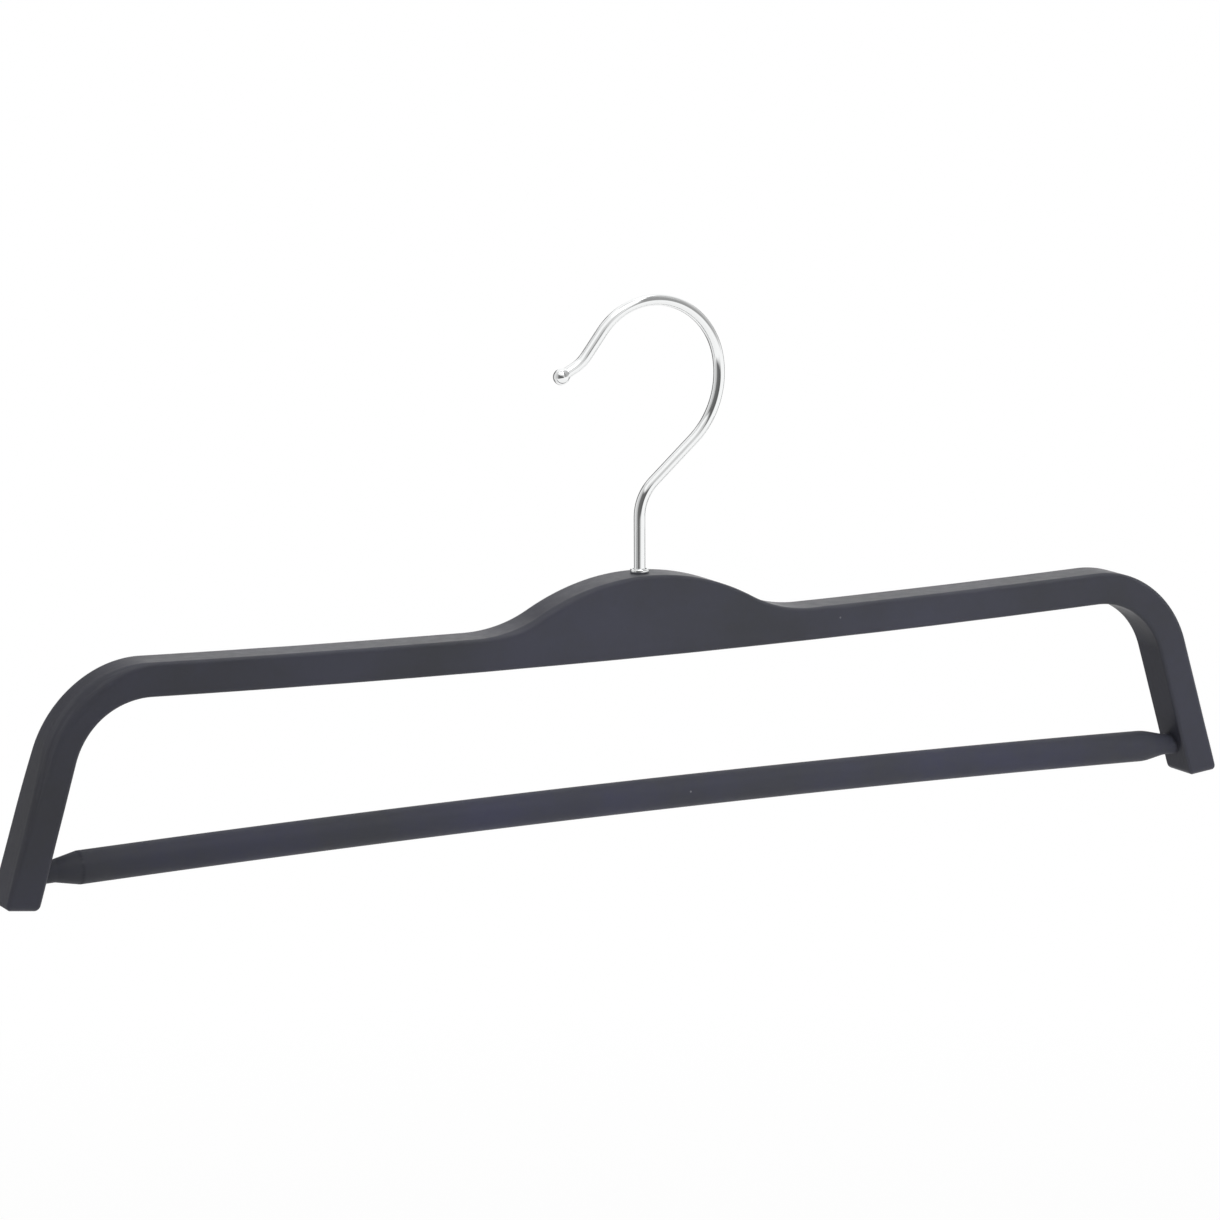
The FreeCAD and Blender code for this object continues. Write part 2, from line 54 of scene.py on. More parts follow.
def heights(node):
    # lowest and highest point of a CAD node
    low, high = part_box(node)
    return low[2] / mm, high[2] / mm


def fullTurn(steps):
    return np.linspace(0, 2 * np.pi, steps, endpoint=False)


def runningSum(steps):
    return np.concatenate([[0], np.cumsum(steps)])


def unit(vectors):
    return vectors / np.linalg.norm(vectors, axis=1, keepdims=True)


def bridge(first, second):
    # quads between two closed rings of point numbers, one quad for each step round them
    return np.stack([first, np.roll(first, -1, axis=0), np.roll(second, -1, axis=0), second], axis=-1)


def ringQuads(numbers):
    # quads of a grid of point numbers that is closed round each ring and open along the rings
    return bridge(numbers[:-1].T, numbers[1:].T).reshape(-1, 4)


def gridQuads(shape):
    # quads of a grid that is open both ways
    n = np.arange(shape[0] * shape[1]).reshape(shape)
    return np.stack([n[:-1, :-1], n[1:, :-1], n[1:, 1:], n[:-1, 1:]], axis=-1).reshape(-1, 4)


def softMin(a, b, reach):
    # smaller of two values, blended by a parabola where they differ by less than the reach
    blend = np.clip(0.5 + 0.5 * (b - a) / reach, 0, 1)
    return b + (a - b) * blend - reach * blend * (1 - blend)


def softStep(x, low, high):
    # 0 to 1 between two limits, by the cubic that is level at both
    t = np.clip((x - low) / (high - low), 0, 1)
    return t * t * (3 - 2 * t)


def wander(x, spacing, turns):
    # slow waver with no repeat in sight: three sines whose lengths share no small factor
    ratios = (1.0, 0.618, 2.236)
    return sum(np.sin(2 * np.pi * x / (spacing * k) + turns * k) for k in ratios) / len(ratios)


def zigzag(phase):
    # triangle wave from -1 to 1 with one tooth for each whole step of the phase
    return 4 * np.abs(phase - np.floor(phase) - 0.5) - 1


def newMesh(name, points, quads, layers, materials):
    # mesh from arrays: points in metres, quads, and named layers of values or vectors on the points
    mesh = bpy.data.meshes.new(name)
    mesh.from_pydata(points.reshape(-1, 3).tolist(), [], quads.tolist())
    for key, values in layers.items():
        kind, field = ("FLOAT_VECTOR", "vector") if values.ndim == 2 else ("FLOAT", "value")
        layer = mesh.attributes.new(key, kind, "POINT")
        layer.data.foreach_set(field, values.astype(np.float32).ravel())
    for material in materials:
        mesh.materials.append(material)
    return mesh


def addObject(name, data):
    thing = bpy.data.objects.new(name, data)
    bpy.context.scene.collection.objects.link(thing)
    return thing


def tidyMesh(mesh, join=1e-7, crease=32):
    # closes seams and poles, turns faces outwards, and keeps hard edges hard
    work = bmesh.new()
    work.from_mesh(mesh)
    bmesh.ops.remove_doubles(work, verts=work.verts, dist=join)
    bmesh.ops.dissolve_degenerate(work, edges=work.edges, dist=join)
    bmesh.ops.recalc_face_normals(work, faces=work.faces)
    work.to_mesh(mesh)
    work.free()
    mesh.shade_smooth()
    mesh.set_sharp_from_angle(angle=math.radians(crease))


def makePiece(name, points, quads, lay, body, slotName, node, materials, rubAndHighlight=0.0, marks=None):
    # One finished piece. lay is where each point would lie if the piece were straight, rub is how much
    # hands and cloth pale each point, together with a painted highlight along the edges, and marks picks a
    # material for each quad.
    layers = {"lay": lay * mm, "rubAndHighlight": np.broadcast_to(rubAndHighlight, len(points))}
    mesh = newMesh(name, points * mm, quads, layers, materials)
    if marks is not None:
        mesh.polygons.foreach_set("material_index", marks.astype(np.int32))
    tidyMesh(mesh)
    piece = addObject(name, mesh)
    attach(piece, body)
    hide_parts(node)
    print("made", name, "with", len(mesh.polygons), "faces")


# Material helpers

def hexColour(code):
    # sRGB hex to linear, with alpha 1
    value = np.array([int(code[k:k + 2], 16) for k in (1, 3, 5)]) / 255
    linear = np.where(value <= 0.04045, value / 12.92, ((value + 0.055) / 1.055) ** 2.4)
    return (*linear.tolist(), 1.0)


def addNode(tree, kind, sockets=None, **settings):
    # one node; a socket gets a value, or a link where the value is another node or one of its outputs
    node = tree.nodes.new("ShaderNode" + kind)
    for key, value in settings.items():
        setattr(node, key, value)
    for key, value in (sockets or {}).items():
        if isinstance(value, bpy.types.Node):
            value = next(output for output in value.outputs if output.enabled)
        if isinstance(value, bpy.types.NodeSocket):
            tree.links.new(value, node.inputs[key])
        else:
            node.inputs[key].default_value = value
    return node


def emptyTree(block):
    # gives a material or a world nodes of its own
    block.use_nodes = True
    block.node_tree.nodes.clear()
    return block.node_tree


def newMaterial(name):
    material = bpy.data.materials.new(name)
    return material, emptyTree(material)


def perMetre(size):
    # pattern scale that gives features of a size in millimetres
    return 1 / (size * mm)


def stretched(length, width):
    # the same for features that are drawn out along the piece
    return perMetre(length), perMetre(width), perMetre(width)


# Materials: the inner dictionaries hold values by the names of the nodes' sockets

lacquerLook = {
    # the paler edge colour stands for rubbing and also paints the edges' highlight
    "deep": "#2A2B32", "light": "#30313D", "rubbedAndHighlit": "#5B5B60", "speck": "#8A8A8C",
    "mottle": {"Scale": perMetre(60.0), "Detail": 3.0, "Roughness": 0.6},  # passes of the spray gun
    "cloud": {"Scale": perMetre(3.5), "Detail": 4.0, "Roughness": 0.65},  # clouding inside them
    "grit": {"Scale": perMetre(0.42), "Detail": 2.0, "Roughness": 0.7},  # 0.05 mm, drawn coarser to show
    "peel": {"Scale": perMetre(2.6), "Detail": 1.0, "Roughness": 0.5},  # ripple of the wet coat
    "grain": {"Scale": 1.0, "Detail": 3.0, "Roughness": 0.55, "Distortion": 0.4},  # wood under the coat
    "streaks": {"Scale": 1.0, "Detail": 4.0, "Roughness": 0.65},  # where cloth slides along edges
    "stretch": {"grain": stretched(70.0, 1.1), "streaks": stretched(26.0, 1.6)},
    "cloudShare": 0.25, "shade": {"From Min": 0.5, "From Max": 0.75},
    "wearAndHighlight": {"From Min": 0.45, "From Max": 0.66, "To Min": 0.17, "To Max": 0.42},
    "speckSpacing": 11.0, "speckShare": 0.03,
    "rough": {"From Min": 0.3, "From Max": 0.7, "To Min": 0.38, "To Max": 0.48}, "wornRough": 0.32,
    "depth": {"grain": 0.02, "peel": 0.03, "grit": 0.012},  # of the bumps, in mm
    "ior": 1.44, "sheen": 0.06, "sheenRough": 0.4,
}


def softTouchLacquer(name, look):
    # Soft-touch polyurethane lacquer sprayed on sanded beech. The eye sees a matt slate black with a
    # velvety lift at glancing angles, cloudy from the spray, a rubbery grit, and edges paled by rubbing;
    # that paler colour on the edges is also a painted highlight along their rounding.
    material, tree = newMaterial(name)
    place = addNode(tree, "TexCoord").outputs["Object"]
    lay = addNode(tree, "Attribute", attribute_name="lay").outputs["Vector"]
    rubAndHighlight = addNode(tree, "Attribute", attribute_name="rubAndHighlight").outputs["Fac"]
    noise = {}
    for key in ("mottle", "cloud", "grit", "peel", "grain", "streaks"):
        spot = place
        if key in look["stretch"]:
            spot = addNode(tree, "Mapping", {"Vector": lay, "Scale": look["stretch"][key]})
        noise[key] = addNode(tree, "TexNoise", {"Vector": spot, **look[key]})
    clouds = addNode(tree, "Math", {
        0: noise["cloud"], 1: look["cloudShare"], 2: noise["mottle"],
    }, operation="MULTIPLY_ADD")
    shade = addNode(tree, "MapRange", {"Value": clouds, **look["shade"]})
    # edges are paled by rubbing, more so in streaks, and the same paler colour paints a highlight along them
    patches = addNode(tree, "MapRange", {"Value": noise["streaks"], **look["wearAndHighlight"]})
    wornAndHighlit = addNode(tree, "Math", {0: rubAndHighlight, 1: patches}, operation="MULTIPLY")
    # lint caught in the lacquer: a pale dot in each cell, stronger or fainter at random
    cells = addNode(tree, "TexVoronoi", {"Vector": place, "Scale": perMetre(look["speckSpacing"])})
    dot = addNode(tree, "Math", {
        0: cells.outputs["Distance"], 1: look["speckShare"],
    }, operation="LESS_THAN")
    lint = addNode(tree, "Math", {0: dot, 1: cells.outputs["Color"]}, operation="MULTIPLY")
    colour = hexColour(look["deep"])
    for share, over in ((shade, "light"), (wornAndHighlit, "rubbedAndHighlit"), (lint, "speck")):
        colour = addNode(tree, "Mix", {
            "Factor": share, "A": colour, "B": hexColour(look[over]),
        }, data_type="RGBA")
    sprayed = addNode(tree, "MapRange", {"Value": noise["cloud"], **look["rough"]})
    rough = addNode(tree, "Math", {0: rubAndHighlight, 1: look["wornRough"], 2: sprayed}, operation="MULTIPLY_ADD")
    bump = {}
    for key, depth in look["depth"].items():
        bump["Normal"] = addNode(tree, "Bump", {
            **bump, "Height": noise[key], "Distance": depth * mm,
        })
    shader = addNode(tree, "BsdfPrincipled", {
        "Base Color": colour, "Roughness": rough, "IOR": look["ior"], **bump,
        "Sheen Weight": look["sheen"], "Sheen Roughness": look["sheenRough"],
    })
    addNode(tree, "OutputMaterial", {"Surface": shader})
    return material


chromeLook = {
    "tint": "#F6F7F7",
    "drawing": stretched(45.0, 0.35), "lines": {"Scale": 1.0, "Detail": 2.0},  # drawn coarser to show
    "haze": {"Scale": perMetre(6.0), "Detail": 3.0},
    "rough": {"From Min": 0.35, "From Max": 0.75, "To Min": 0.04, "To Max": 0.13},
    "relief": {"Strength": 0.35, "Distance": 0.004 * mm},
}


def chromePlate(name, look):
    # Bright chromium over nickel on drawn steel wire. The eye sees a mirror with soft lines along the
    # wire, left from drawing, and a faint haze where hands have turned it.
    material, tree = newMaterial(name)
    place = addNode(tree, "TexCoord").outputs["Object"]
    lay = addNode(tree, "Attribute", attribute_name="lay").outputs["Vector"]
    drawn = addNode(tree, "Mapping", {"Vector": lay, "Scale": look["drawing"]})
    lines = addNode(tree, "TexNoise", {"Vector": drawn, **look["lines"]})
    haze = addNode(tree, "TexNoise", {"Vector": place, **look["haze"]})
    shader = addNode(tree, "BsdfPrincipled", {
        "Base Color": hexColour(look["tint"]), "Metallic": 1.0,
        "Roughness": addNode(tree, "MapRange", {"Value": haze, **look["rough"]}),
        "Normal": addNode(tree, "Bump", {"Height": lines, **look["relief"]}),
    })
    addNode(tree, "OutputMaterial", {"Surface": shader})
    return material


zincLook = {
    "blue": "#A9B0B8", "straw": "#BDB79F",
    "drift": {"Scale": perMetre(4.0), "Detail": 2.0}, "spread": {"From Min": 0.35, "From Max": 0.7},
    "pits": {"Scale": perMetre(0.35), "Detail": 3.0},  # between the zinc's crystals, drawn coarser to show
    "rough": {"From Min": 0.3, "From Max": 0.7, "To Min": 0.24, "To Max": 0.44},
    "relief": {"Strength": 0.5, "Distance": 0.01 * mm},
}


def zincPlate(name, look):
    # Zinc-plated steel with clear passivation: dull silver that drifts between bluish and straw.
    material, tree = newMaterial(name)
    place = addNode(tree, "TexCoord").outputs["Object"]
    drift = addNode(tree, "TexNoise", {"Vector": place, **look["drift"]})
    pits = addNode(tree, "TexNoise", {"Vector": place, **look["pits"]})
    spread = addNode(tree, "MapRange", {"Value": drift, **look["spread"]})
    colour = addNode(tree, "Mix", {
        "Factor": spread, "A": hexColour(look["blue"]), "B": hexColour(look["straw"]),
    }, data_type="RGBA")
    shader = addNode(tree, "BsdfPrincipled", {
        "Base Color": colour, "Metallic": 1.0,
        "Roughness": addNode(tree, "MapRange", {"Value": pits, **look["rough"]}),
        "Normal": addNode(tree, "Bump", {"Height": pits, **look["relief"]}),
    })
    addNode(tree, "OutputMaterial", {"Surface": shader})
    return material


# Moulded natural nylon: milky and slightly waxy, with warmer clouds in it.
nylonLook = {
    "first": "#D8D6CC", "second": "#C9C3B2",
    "size": stretched(1.5, 1.5), "noise": {"Scale": 1.0, "Detail": 2.0},
    "relief": {"Strength": 0.3, "Distance": 0.01 * mm}, "shader": {"Roughness": 0.42, "IOR": 1.53},
}

# Beech cut by a drill and dusted with lacquer: brown, with tight darker lines across the hole.
beechLook = {
    "first": "#3E3026", "second": "#6B543D",
    "size": stretched(14.0, 0.6), "noise": {"Scale": 1.0, "Detail": 3.0},
    "relief": {"Strength": 0.6, "Distance": 0.05 * mm}, "shader": {"Roughness": 0.75},
}


def cloudedFinish(name, look):
    # one noise drifts between two colours and gives the relief, and the gloss is even
    material, tree = newMaterial(name)
    place = addNode(tree, "TexCoord").outputs["Object"]
    sized = addNode(tree, "Mapping", {"Vector": place, "Scale": look["size"]})
    noise = addNode(tree, "TexNoise", {"Vector": sized, **look["noise"]})
    colour = addNode(tree, "Mix", {
        "Factor": noise, "A": hexColour(look["first"]), "B": hexColour(look["second"]),
    }, data_type="RGBA")
    bump = addNode(tree, "Bump", {"Height": noise, **look["relief"]})
    shader = addNode(tree, "BsdfPrincipled", {"Base Color": colour, "Normal": bump, **look["shader"]})
    addNode(tree, "OutputMaterial", {"Surface": shader})
    return material


bowLacquer = softTouchLacquer("soft_touch_lacquer_on_bow", lacquerLook)
# The bar's copy of the lacquer is painted paler than the bow's: painted light, for more light from above on
# the bar.
barLacquerPaintedPaler = softTouchLacquer("soft_touch_lacquer_on_bar_painted_paler", {
    **lacquerLook, "deep": "#35363D", "light": "#373848", "ior": 1.38,
    "mottle": {**lacquerLook["mottle"], "Scale": perMetre(75.0)},
    "stretch": {**lacquerLook["stretch"], "grain": stretched(110.0, 1.1)},
    "wearAndHighlight": {**lacquerLook["wearAndHighlight"], "To Min": 0.0, "To Max": 0.25},
    "rough": {**lacquerLook["rough"], "To Min": 0.58, "To Max": 0.68},
})
chrome = chromePlate("chrome_on_drawn_wire", chromeLook)
zinc = zincPlate("zinc_on_steel", zincLook)
nylon = cloudedFinish("natural_nylon", nylonLook)
rawBeech = cloudedFinish("drilled_beech", beechLook)
print("materials mixed")


# Frame: two matched lines, over and under, with a rounded section between them

bow = {
    "width": 417.0, "depth": 14.0, "railHeight": 10.2, "railRadius": 5030.0,
    "crestHeight": 25.2, "crestRadius": 74.0, "valleyRadius": 43.0,
    "cornerRadius": 24.0, "legLength": 44.3, "legSplay": 16.4, "footTilt": 6.5,
    "edgeRound": 1.2, "footRound": 1.8,
    "cornerRounds": (3.2, 0.4), "swellTurn": 2.3, "swellRun": 14.0,  # more sanding outside the two corners
    "slopeRound": 1.0, "slopeAt": -35.0, "slopeReach": 19.0,  # and on the crest's left slope
    "edgeWander": 0.12, "wanderSpacing": 37.0, "wanderTurn": 1.7,  # drift of the rounding, sanded by hand
    # how pale the edges are painted, for rubbing and a painted highlight together
    "edgeWearAndHighlight": 0.55, "insideWearAndHighlight": 0.1,  # outside and inside of the bow
    # the left corner and leg are painted paler still on their edges: more rubbing and more painted highlight
    "cornerWearAndHighlight": 1.0, "cornerExtraStart": (-176.0, -160.0), "cornerExtraEnd": (-230.0, -214.0),  # left corner and leg
    "arcSteps": 9, "footSteps": 8, "footShares": (0.6, 0.25, 0.0),
    "flatShares": (0.02, 0.12, 0.25, 0.375, 0.5, 0.625, 0.75, 0.88, 0.98),
    "holeStep": 1.0, "holeReach": 12.0, "crestStep": 1.5, "crestReach": 84.0, "railStep": 3.0,
    "cornerSteps": 44, "legStep": 1.1,
    "recessRadius": 5.0, "recessDepth": 9.0, "shankHole": 2.1, "bushHole": 2.62, "bushDepth": 8.02,
    "socketRadius": 3.45, "socketDepth": 6.1, "barLift": 10.4, "rimBreak": 0.25,
    "hookWindow": 7, "socketMargin": 1.5,  # grid steps that are left out round the holes
    "mouthShares": (0.4, 0.75, 1.0),  # rings from the window's edge to the hole
}
bow["crestTop"] = heights("frame")[1]
bow["underside"] = bow["crestTop"] - bow["crestHeight"]

bar = {
    "diameter": 10.0, "bowRadius": 7100.0, "taper": 7.5, "neck": 4.0, "neckDiameter": 6.8,
    "tenon": 5.6, "tenonBreak": 0.5,
    "leftBlend": 0.03, "rightBlend": 0.42,  # the left cone is crisp, the right one was sanded round
    "neckBlend": 0.6, "shoulderWear": 0.5,
    "around": 64, "middleStep": 2.5, "endStep": 0.22, "endReach": 6.0,
}
bar["top"] = heights("trouser_bar")[1]


def bowPlan(b):
    # Places worked out from the frame's sizes; x along the rail, z up from the rail's underside.
    plan = {}
    splay, tilt = math.radians(b["legSplay"]), math.radians(b["footTilt"])
    footRun = b["railHeight"] * math.cos(tilt) / math.cos(splay - tilt)
    legDown = np.array([math.sin(splay), -math.cos(splay)])
    legOut = np.array([math.cos(splay), math.sin(splay)])
    cornerX = b["width"] / 2 - b["cornerRadius"] * legOut[0] - b["legLength"] * legDown[0] - footRun
    reach = b["railRadius"] + b["cornerRadius"]
    plan["corner"] = np.array([cornerX, b["railRadius"] - math.sqrt(reach ** 2 - cornerX ** 2)])
    plan["cornerAngle"] = math.asin(cornerX / reach)
    plan["legOut"], plan["splay"] = legOut, splay
    plan["legTop"] = plan["corner"] + b["cornerRadius"] * legOut
    plan["heel"] = plan["legTop"] + b["legLength"] * legDown
    plan["toe"] = plan["heel"] + footRun * np.array([1, math.tan(tilt)])
    plan["seat"] = plan["legTop"] + (b["legLength"] - b["barLift"]) * legDown
    # the valley's circle touches the crest's circle from outside and the rail's upper face from inside
    crestZ = b["crestHeight"] - b["crestRadius"]
    far = b["crestRadius"] + b["valleyRadius"]
    inside = b["railRadius"] - b["railHeight"] - b["valleyRadius"]
    lift = (far ** 2 - inside ** 2 - crestZ ** 2 + b["railRadius"] ** 2) / (b["railRadius"] - crestZ) / 2
    plan["crest"] = np.array([0, crestZ])
    plan["valley"] = np.array([math.sqrt(far ** 2 - (lift - crestZ) ** 2), lift])
    plan["crestEnd"] = plan["crest"] + (plan["valley"] - plan["crest"]) * b["crestRadius"] / far
    away = plan["valley"] - np.array([0, b["railRadius"]])
    plan["valleyEnd"] = np.array([0, b["railRadius"]]) + away * (b["railRadius"] - b["railHeight"]) / inside
    return plan


def bowLines(b, plan):
    # Upper and lower line of the right half, point for point. On the rail both points lie on one ray from
    # the centre of the rail's bow, at the corner on one ray from the corner's centre, and down the leg at
    # the same share of its length. The third array is how far a point is above the foot, and the fourth
    # how much of the corner's extra rounding it gets.
    x = np.concatenate([
        np.arange(0, b["holeReach"], b["holeStep"]),
        np.arange(b["holeReach"], b["crestReach"], b["crestStep"]),
        np.arange(b["crestReach"], plan["corner"][0] - b["railStep"] / 2, b["railStep"]),
    ])
    ray = np.arcsin(x / b["railRadius"])
    heading = np.stack([np.sin(ray), -np.cos(ray)], axis=1)
    hub = np.array([0, b["railRadius"]])

    def meets(centre, radius, side):
        # how far along each ray it meets a circle
        along = heading @ (centre - hub)
        return along + side * np.sqrt(along ** 2 - (centre - hub) @ (centre - hub) + radius ** 2)

    crestTurn, valleyTurn = (
        math.atan2(p[0], b["railRadius"] - p[1]) for p in (plan["crestEnd"], plan["valleyEnd"]))
    crest = meets(plan["crest"], b["crestRadius"], -1)
    over = np.where(ray < crestTurn, crest, b["railRadius"] - b["railHeight"])
    dip = (ray >= crestTurn) & (ray < valleyTurn)
    over[dip] = meets(plan["valley"], b["valleyRadius"], 1)[dip]
    railUpper = hub + over[:, None] * heading
    railLower = hub + b["railRadius"] * heading
    swing = np.linspace(math.pi / 2 + plan["cornerAngle"], plan["splay"], b["cornerSteps"])
    outward = np.stack([np.cos(swing), np.sin(swing)], axis=1)
    cornerUpper = plan["corner"] + (b["cornerRadius"] + b["railHeight"]) * outward
    cornerLower = plan["corner"] + b["cornerRadius"] * outward
    # the last stretch of the leg follows the quarter circle that rounds the foot
    plain = np.arange(b["legStep"], b["legLength"] - b["footRound"] - b["legStep"] / 2, b["legStep"])
    quarter = np.linspace(0, math.pi / 2, b["footSteps"] + 1)
    down = np.concatenate([plain, b["legLength"] - b["footRound"] * (1 - np.sin(quarter))])
    share = (down / b["legLength"])[:, None]
    legUpper = cornerUpper[-1] + share * (plan["toe"] - cornerUpper[-1])
    legLower = plan["legTop"] + share * (plan["heel"] - plan["legTop"])
    upper = np.concatenate([railUpper, cornerUpper, legUpper])
    lower = np.concatenate([railLower, cornerLower, legLower])
    aboveFoot = np.full(len(upper), b["legLength"])
    aboveFoot[-len(down):] = b["legLength"] - down
    # the extra rounding swells round the bend by a sine and dies away down the leg
    swell = np.sin(np.linspace(0, b["swellTurn"], b["cornerSteps"]))
    cornering = np.concatenate([np.zeros(len(x)), swell, swell[-1] * np.exp(-down / b["swellRun"])])
    return upper, lower, aboveFoot, cornering


def bothHalves(half, flip=False):
    # mirrors a half line about its first point; flip turns the sign of x on the other side
    other = half[:0:-1].copy()
    if flip:
        other[:, 0] *= -1
    return np.concatenate([other, half])


def roundedSection(height, depth, radii, b):
    # Columns round a rounded rectangle for all stations at once: a quarter arc at each corner, with one
    # radius on the inside of the bow and one on the outside, then points on the flat that follows. Gives
    # the place across, the place in depth, and how pale the edge is painted, for rubbing and a painted
    # highlight together, strongest halfway round an edge.
    turn = np.linspace(0, math.pi / 2, b["arcSteps"] + 1)
    sine, cosine = np.sin(turn), np.cos(turn)
    corners = (
        (-1, -1, -sine, -cosine), (-1, 1, -cosine, sine), (1, 1, sine, cosine), (1, -1, cosine, -sine))
    shares = np.array(b["flatShares"])
    h, d, low, high = (size[:, None] for size in (height, depth, *radii))
    arcs = []
    for sideA, sideB, arcA, arcB in corners:
        r = low if sideA < 0 else high
        arcs.append((sideA * (h / 2 - r) + r * arcA, sideB * (d / 2 - r) + r * arcB))
    across, deep, edge = [], [], []
    for (a, c), (nextA, nextC) in zip(arcs, arcs[1:] + arcs[:1]):
        across += [a, a[:, -1:] + shares * (nextA[:, :1] - a[:, -1:])]
        deep += [c, c[:, -1:] + shares * (nextC[:, :1] - c[:, -1:])]
    for wearAndHighlight in ("insideWearAndHighlight", "insideWearAndHighlight", "edgeWearAndHighlight", "edgeWearAndHighlight"):
        edge += [np.sin(2 * turn) * b[wearAndHighlight], 0 * shares]
    return np.hstack(across), np.hstack(deep), np.concatenate(edge)


def windowEdge(numbers, rows, columns):
    # point numbers round the edge of a window in the grid, in order
    (top, bottom), (left, right) = rows, columns
    return np.concatenate([
        numbers[top, left:right], numbers[top:bottom, right],
        numbers[bottom, right:left:-1], numbers[bottom:top:-1, left],
    ])


def ringOf(centre, axes, angle, radius):
    # points of a circle at the given angles
    return centre + radius * (np.cos(angle)[:, None] * axes[0] + np.sin(angle)[:, None] * axes[1])


def makeBow(b, barSizes):
    # The rounded section is carried along both lines and drawn in by a quarter circle at the feet. Holes
    # are windows left out of that grid, filled with rings that lead from the window's edge into the hole.
    plan = bowPlan(b)
    upperHalf, lowerHalf, footHalf, cornerHalf = bowLines(b, plan)
    upper, lower = bothHalves(upperHalf, True), bothHalves(lowerHalf, True)
    aboveFoot, cornering = bothHalves(footHalf), bothHalves(cornerHalf)
    middle, span = (upper + lower) / 2, upper - lower
    height = np.linalg.norm(span, axis=1)
    along = runningSum(np.linalg.norm(np.diff(middle, axis=0), axis=1))
    along -= along[len(along) // 2]
    drawIn = np.clip(b["footRound"] - aboveFoot, 0, None)
    inset = b["footRound"] - np.sqrt(b["footRound"] ** 2 - drawIn ** 2)
    drift = b["edgeWander"] * wander(along, b["wanderSpacing"], b["wanderTurn"])
    insideRound = b["edgeRound"] + drift * (aboveFoot > b["footRound"])
    outsideRound = insideRound + np.where(along < 0, *b["cornerRounds"]) * cornering
    outsideRound += b["slopeRound"] * np.exp(-((along - b["slopeAt"]) / b["slopeReach"]) ** 2)
    radii = [np.maximum(radius - inset, sharpRound) for radius in (insideRound, outsideRound)]
    across, deep, edge = roundedSection(height - 2 * inset, b["depth"] - 2 * inset, radii, b)
    lean = span / height[:, None]
    points = np.stack([
        middle[:, :1] + across * lean[:, :1],
        deep,
        b["underside"] + middle[:, 1:] + across * lean[:, 1:],
    ], axis=-1)
    lay = np.stack([np.broadcast_to(along[:, None], across.shape), across, deep], axis=-1)
    # the left corner and leg get paler edges: more rubbing and more painted highlight
    leftCornerShare = softStep(along, *b["cornerExtraEnd"]) * (1 - softStep(along, *b["cornerExtraStart"]))
    rubAndHighlight = (1 + b["cornerWearAndHighlight"] * leftCornerShare)[:, None] * edge
    rows, columns = across.shape
    numbers = np.arange(rows * columns).reshape(rows, columns)
    keep = np.ones((rows - 1, columns), bool)
    facePoints = points.reshape(-1, 3)
    allPoints, allLay, allRubAndHighlight = [facePoints], [lay.reshape(-1, 3)], [rubAndHighlight.ravel()]
    quads, marks = [], []

    def addRing(ring, like):
        # a new ring of points without wear; for patterns it lies where the window's edge lies
        start = sum(len(block) for block in allPoints)
        allPoints.append(ring)
        allLay.append(np.concatenate(allLay)[like])
        allRubAndHighlight.append(np.zeros(len(ring)))
        return start + np.arange(len(ring))

    def addQuads(rings, mark):
        for first, second in zip(rings, rings[1:]):
            quads.append(bridge(first, second))
            marks.append(np.full(len(first), mark))

    coat, wood = 0, 1  # places in the piece's list of materials
    innerFlat = (b["arcSteps"] + 1, b["arcSteps"] + len(b["flatShares"]))
    outerFlat = tuple(columns // 2 + j for j in innerFlat)

    def openFace(strip, face, centre, axes, radius, ontoFace):
        # leaves a window out of the grid and lays rings on the face from its edge to a round hole
        rim = windowEdge(numbers, strip, face)
        spread = facePoints[rim] - centre
        angle = np.arctan2(spread @ axes[1], spread @ axes[0])
        order = np.argsort(angle)
        rim, angle = rim[order], angle[order]
        start, circle = facePoints[rim], ringOf(centre, axes, angle, radius)
        rings = [addRing(ontoFace(start + share * (circle - start)), rim) for share in b["mouthShares"]]
        addQuads([rim] + rings, coat)
        keep[slice(*strip), slice(*face)] = False
        return rim, angle, rings[-1]

    # hole for the hook, from the recess under the crest up to the bush
    hookRows = (rows // 2 - b["hookWindow"], rows // 2 + b["hookWindow"])
    upright = (np.array([1.0, 0, 0]), np.array([0, 1.0, 0]))
    below, above = np.array([0, 0, b["underside"]]), np.array([0, 0, b["crestTop"]])
    crestHub = b["crestTop"] - b["crestRadius"]
    railHub = b["underside"] + b["railRadius"]

    def ontoUnderside(p):
        return np.column_stack([p[:, :2], railHub - np.sqrt(b["railRadius"] ** 2 - p[:, 0] ** 2)])

    def ontoCrest(p):
        return np.column_stack([p[:, :2], crestHub + np.sqrt(b["crestRadius"] ** 2 - p[:, 0] ** 2)])

    lowRim, lowAngle, recessMouth = openFace(
        hookRows, innerFlat, below, upright, b["recessRadius"] + b["rimBreak"], ontoUnderside)
    highRim, highAngle, bushMouth = openFace(hookRows, outerFlat, above, upright, b["bushHole"], ontoCrest)
    bushFloor = b["crestHeight"] - b["bushDepth"]
    walls = ((b["recessRadius"], b["rimBreak"]), (b["recessRadius"], b["recessDepth"]),
             (b["shankHole"], b["recessDepth"]), (b["shankHole"], bushFloor))
    shaft = [addRing(ringOf(below + [0, 0, z], upright, lowAngle, r), lowRim) for r, z in walls]
    bushSeat = addRing(ringOf(below + [0, 0, bushFloor], upright, highAngle, b["bushHole"]), highRim)
    addQuads([recessMouth, *shaft, bushSeat, bushMouth], wood)

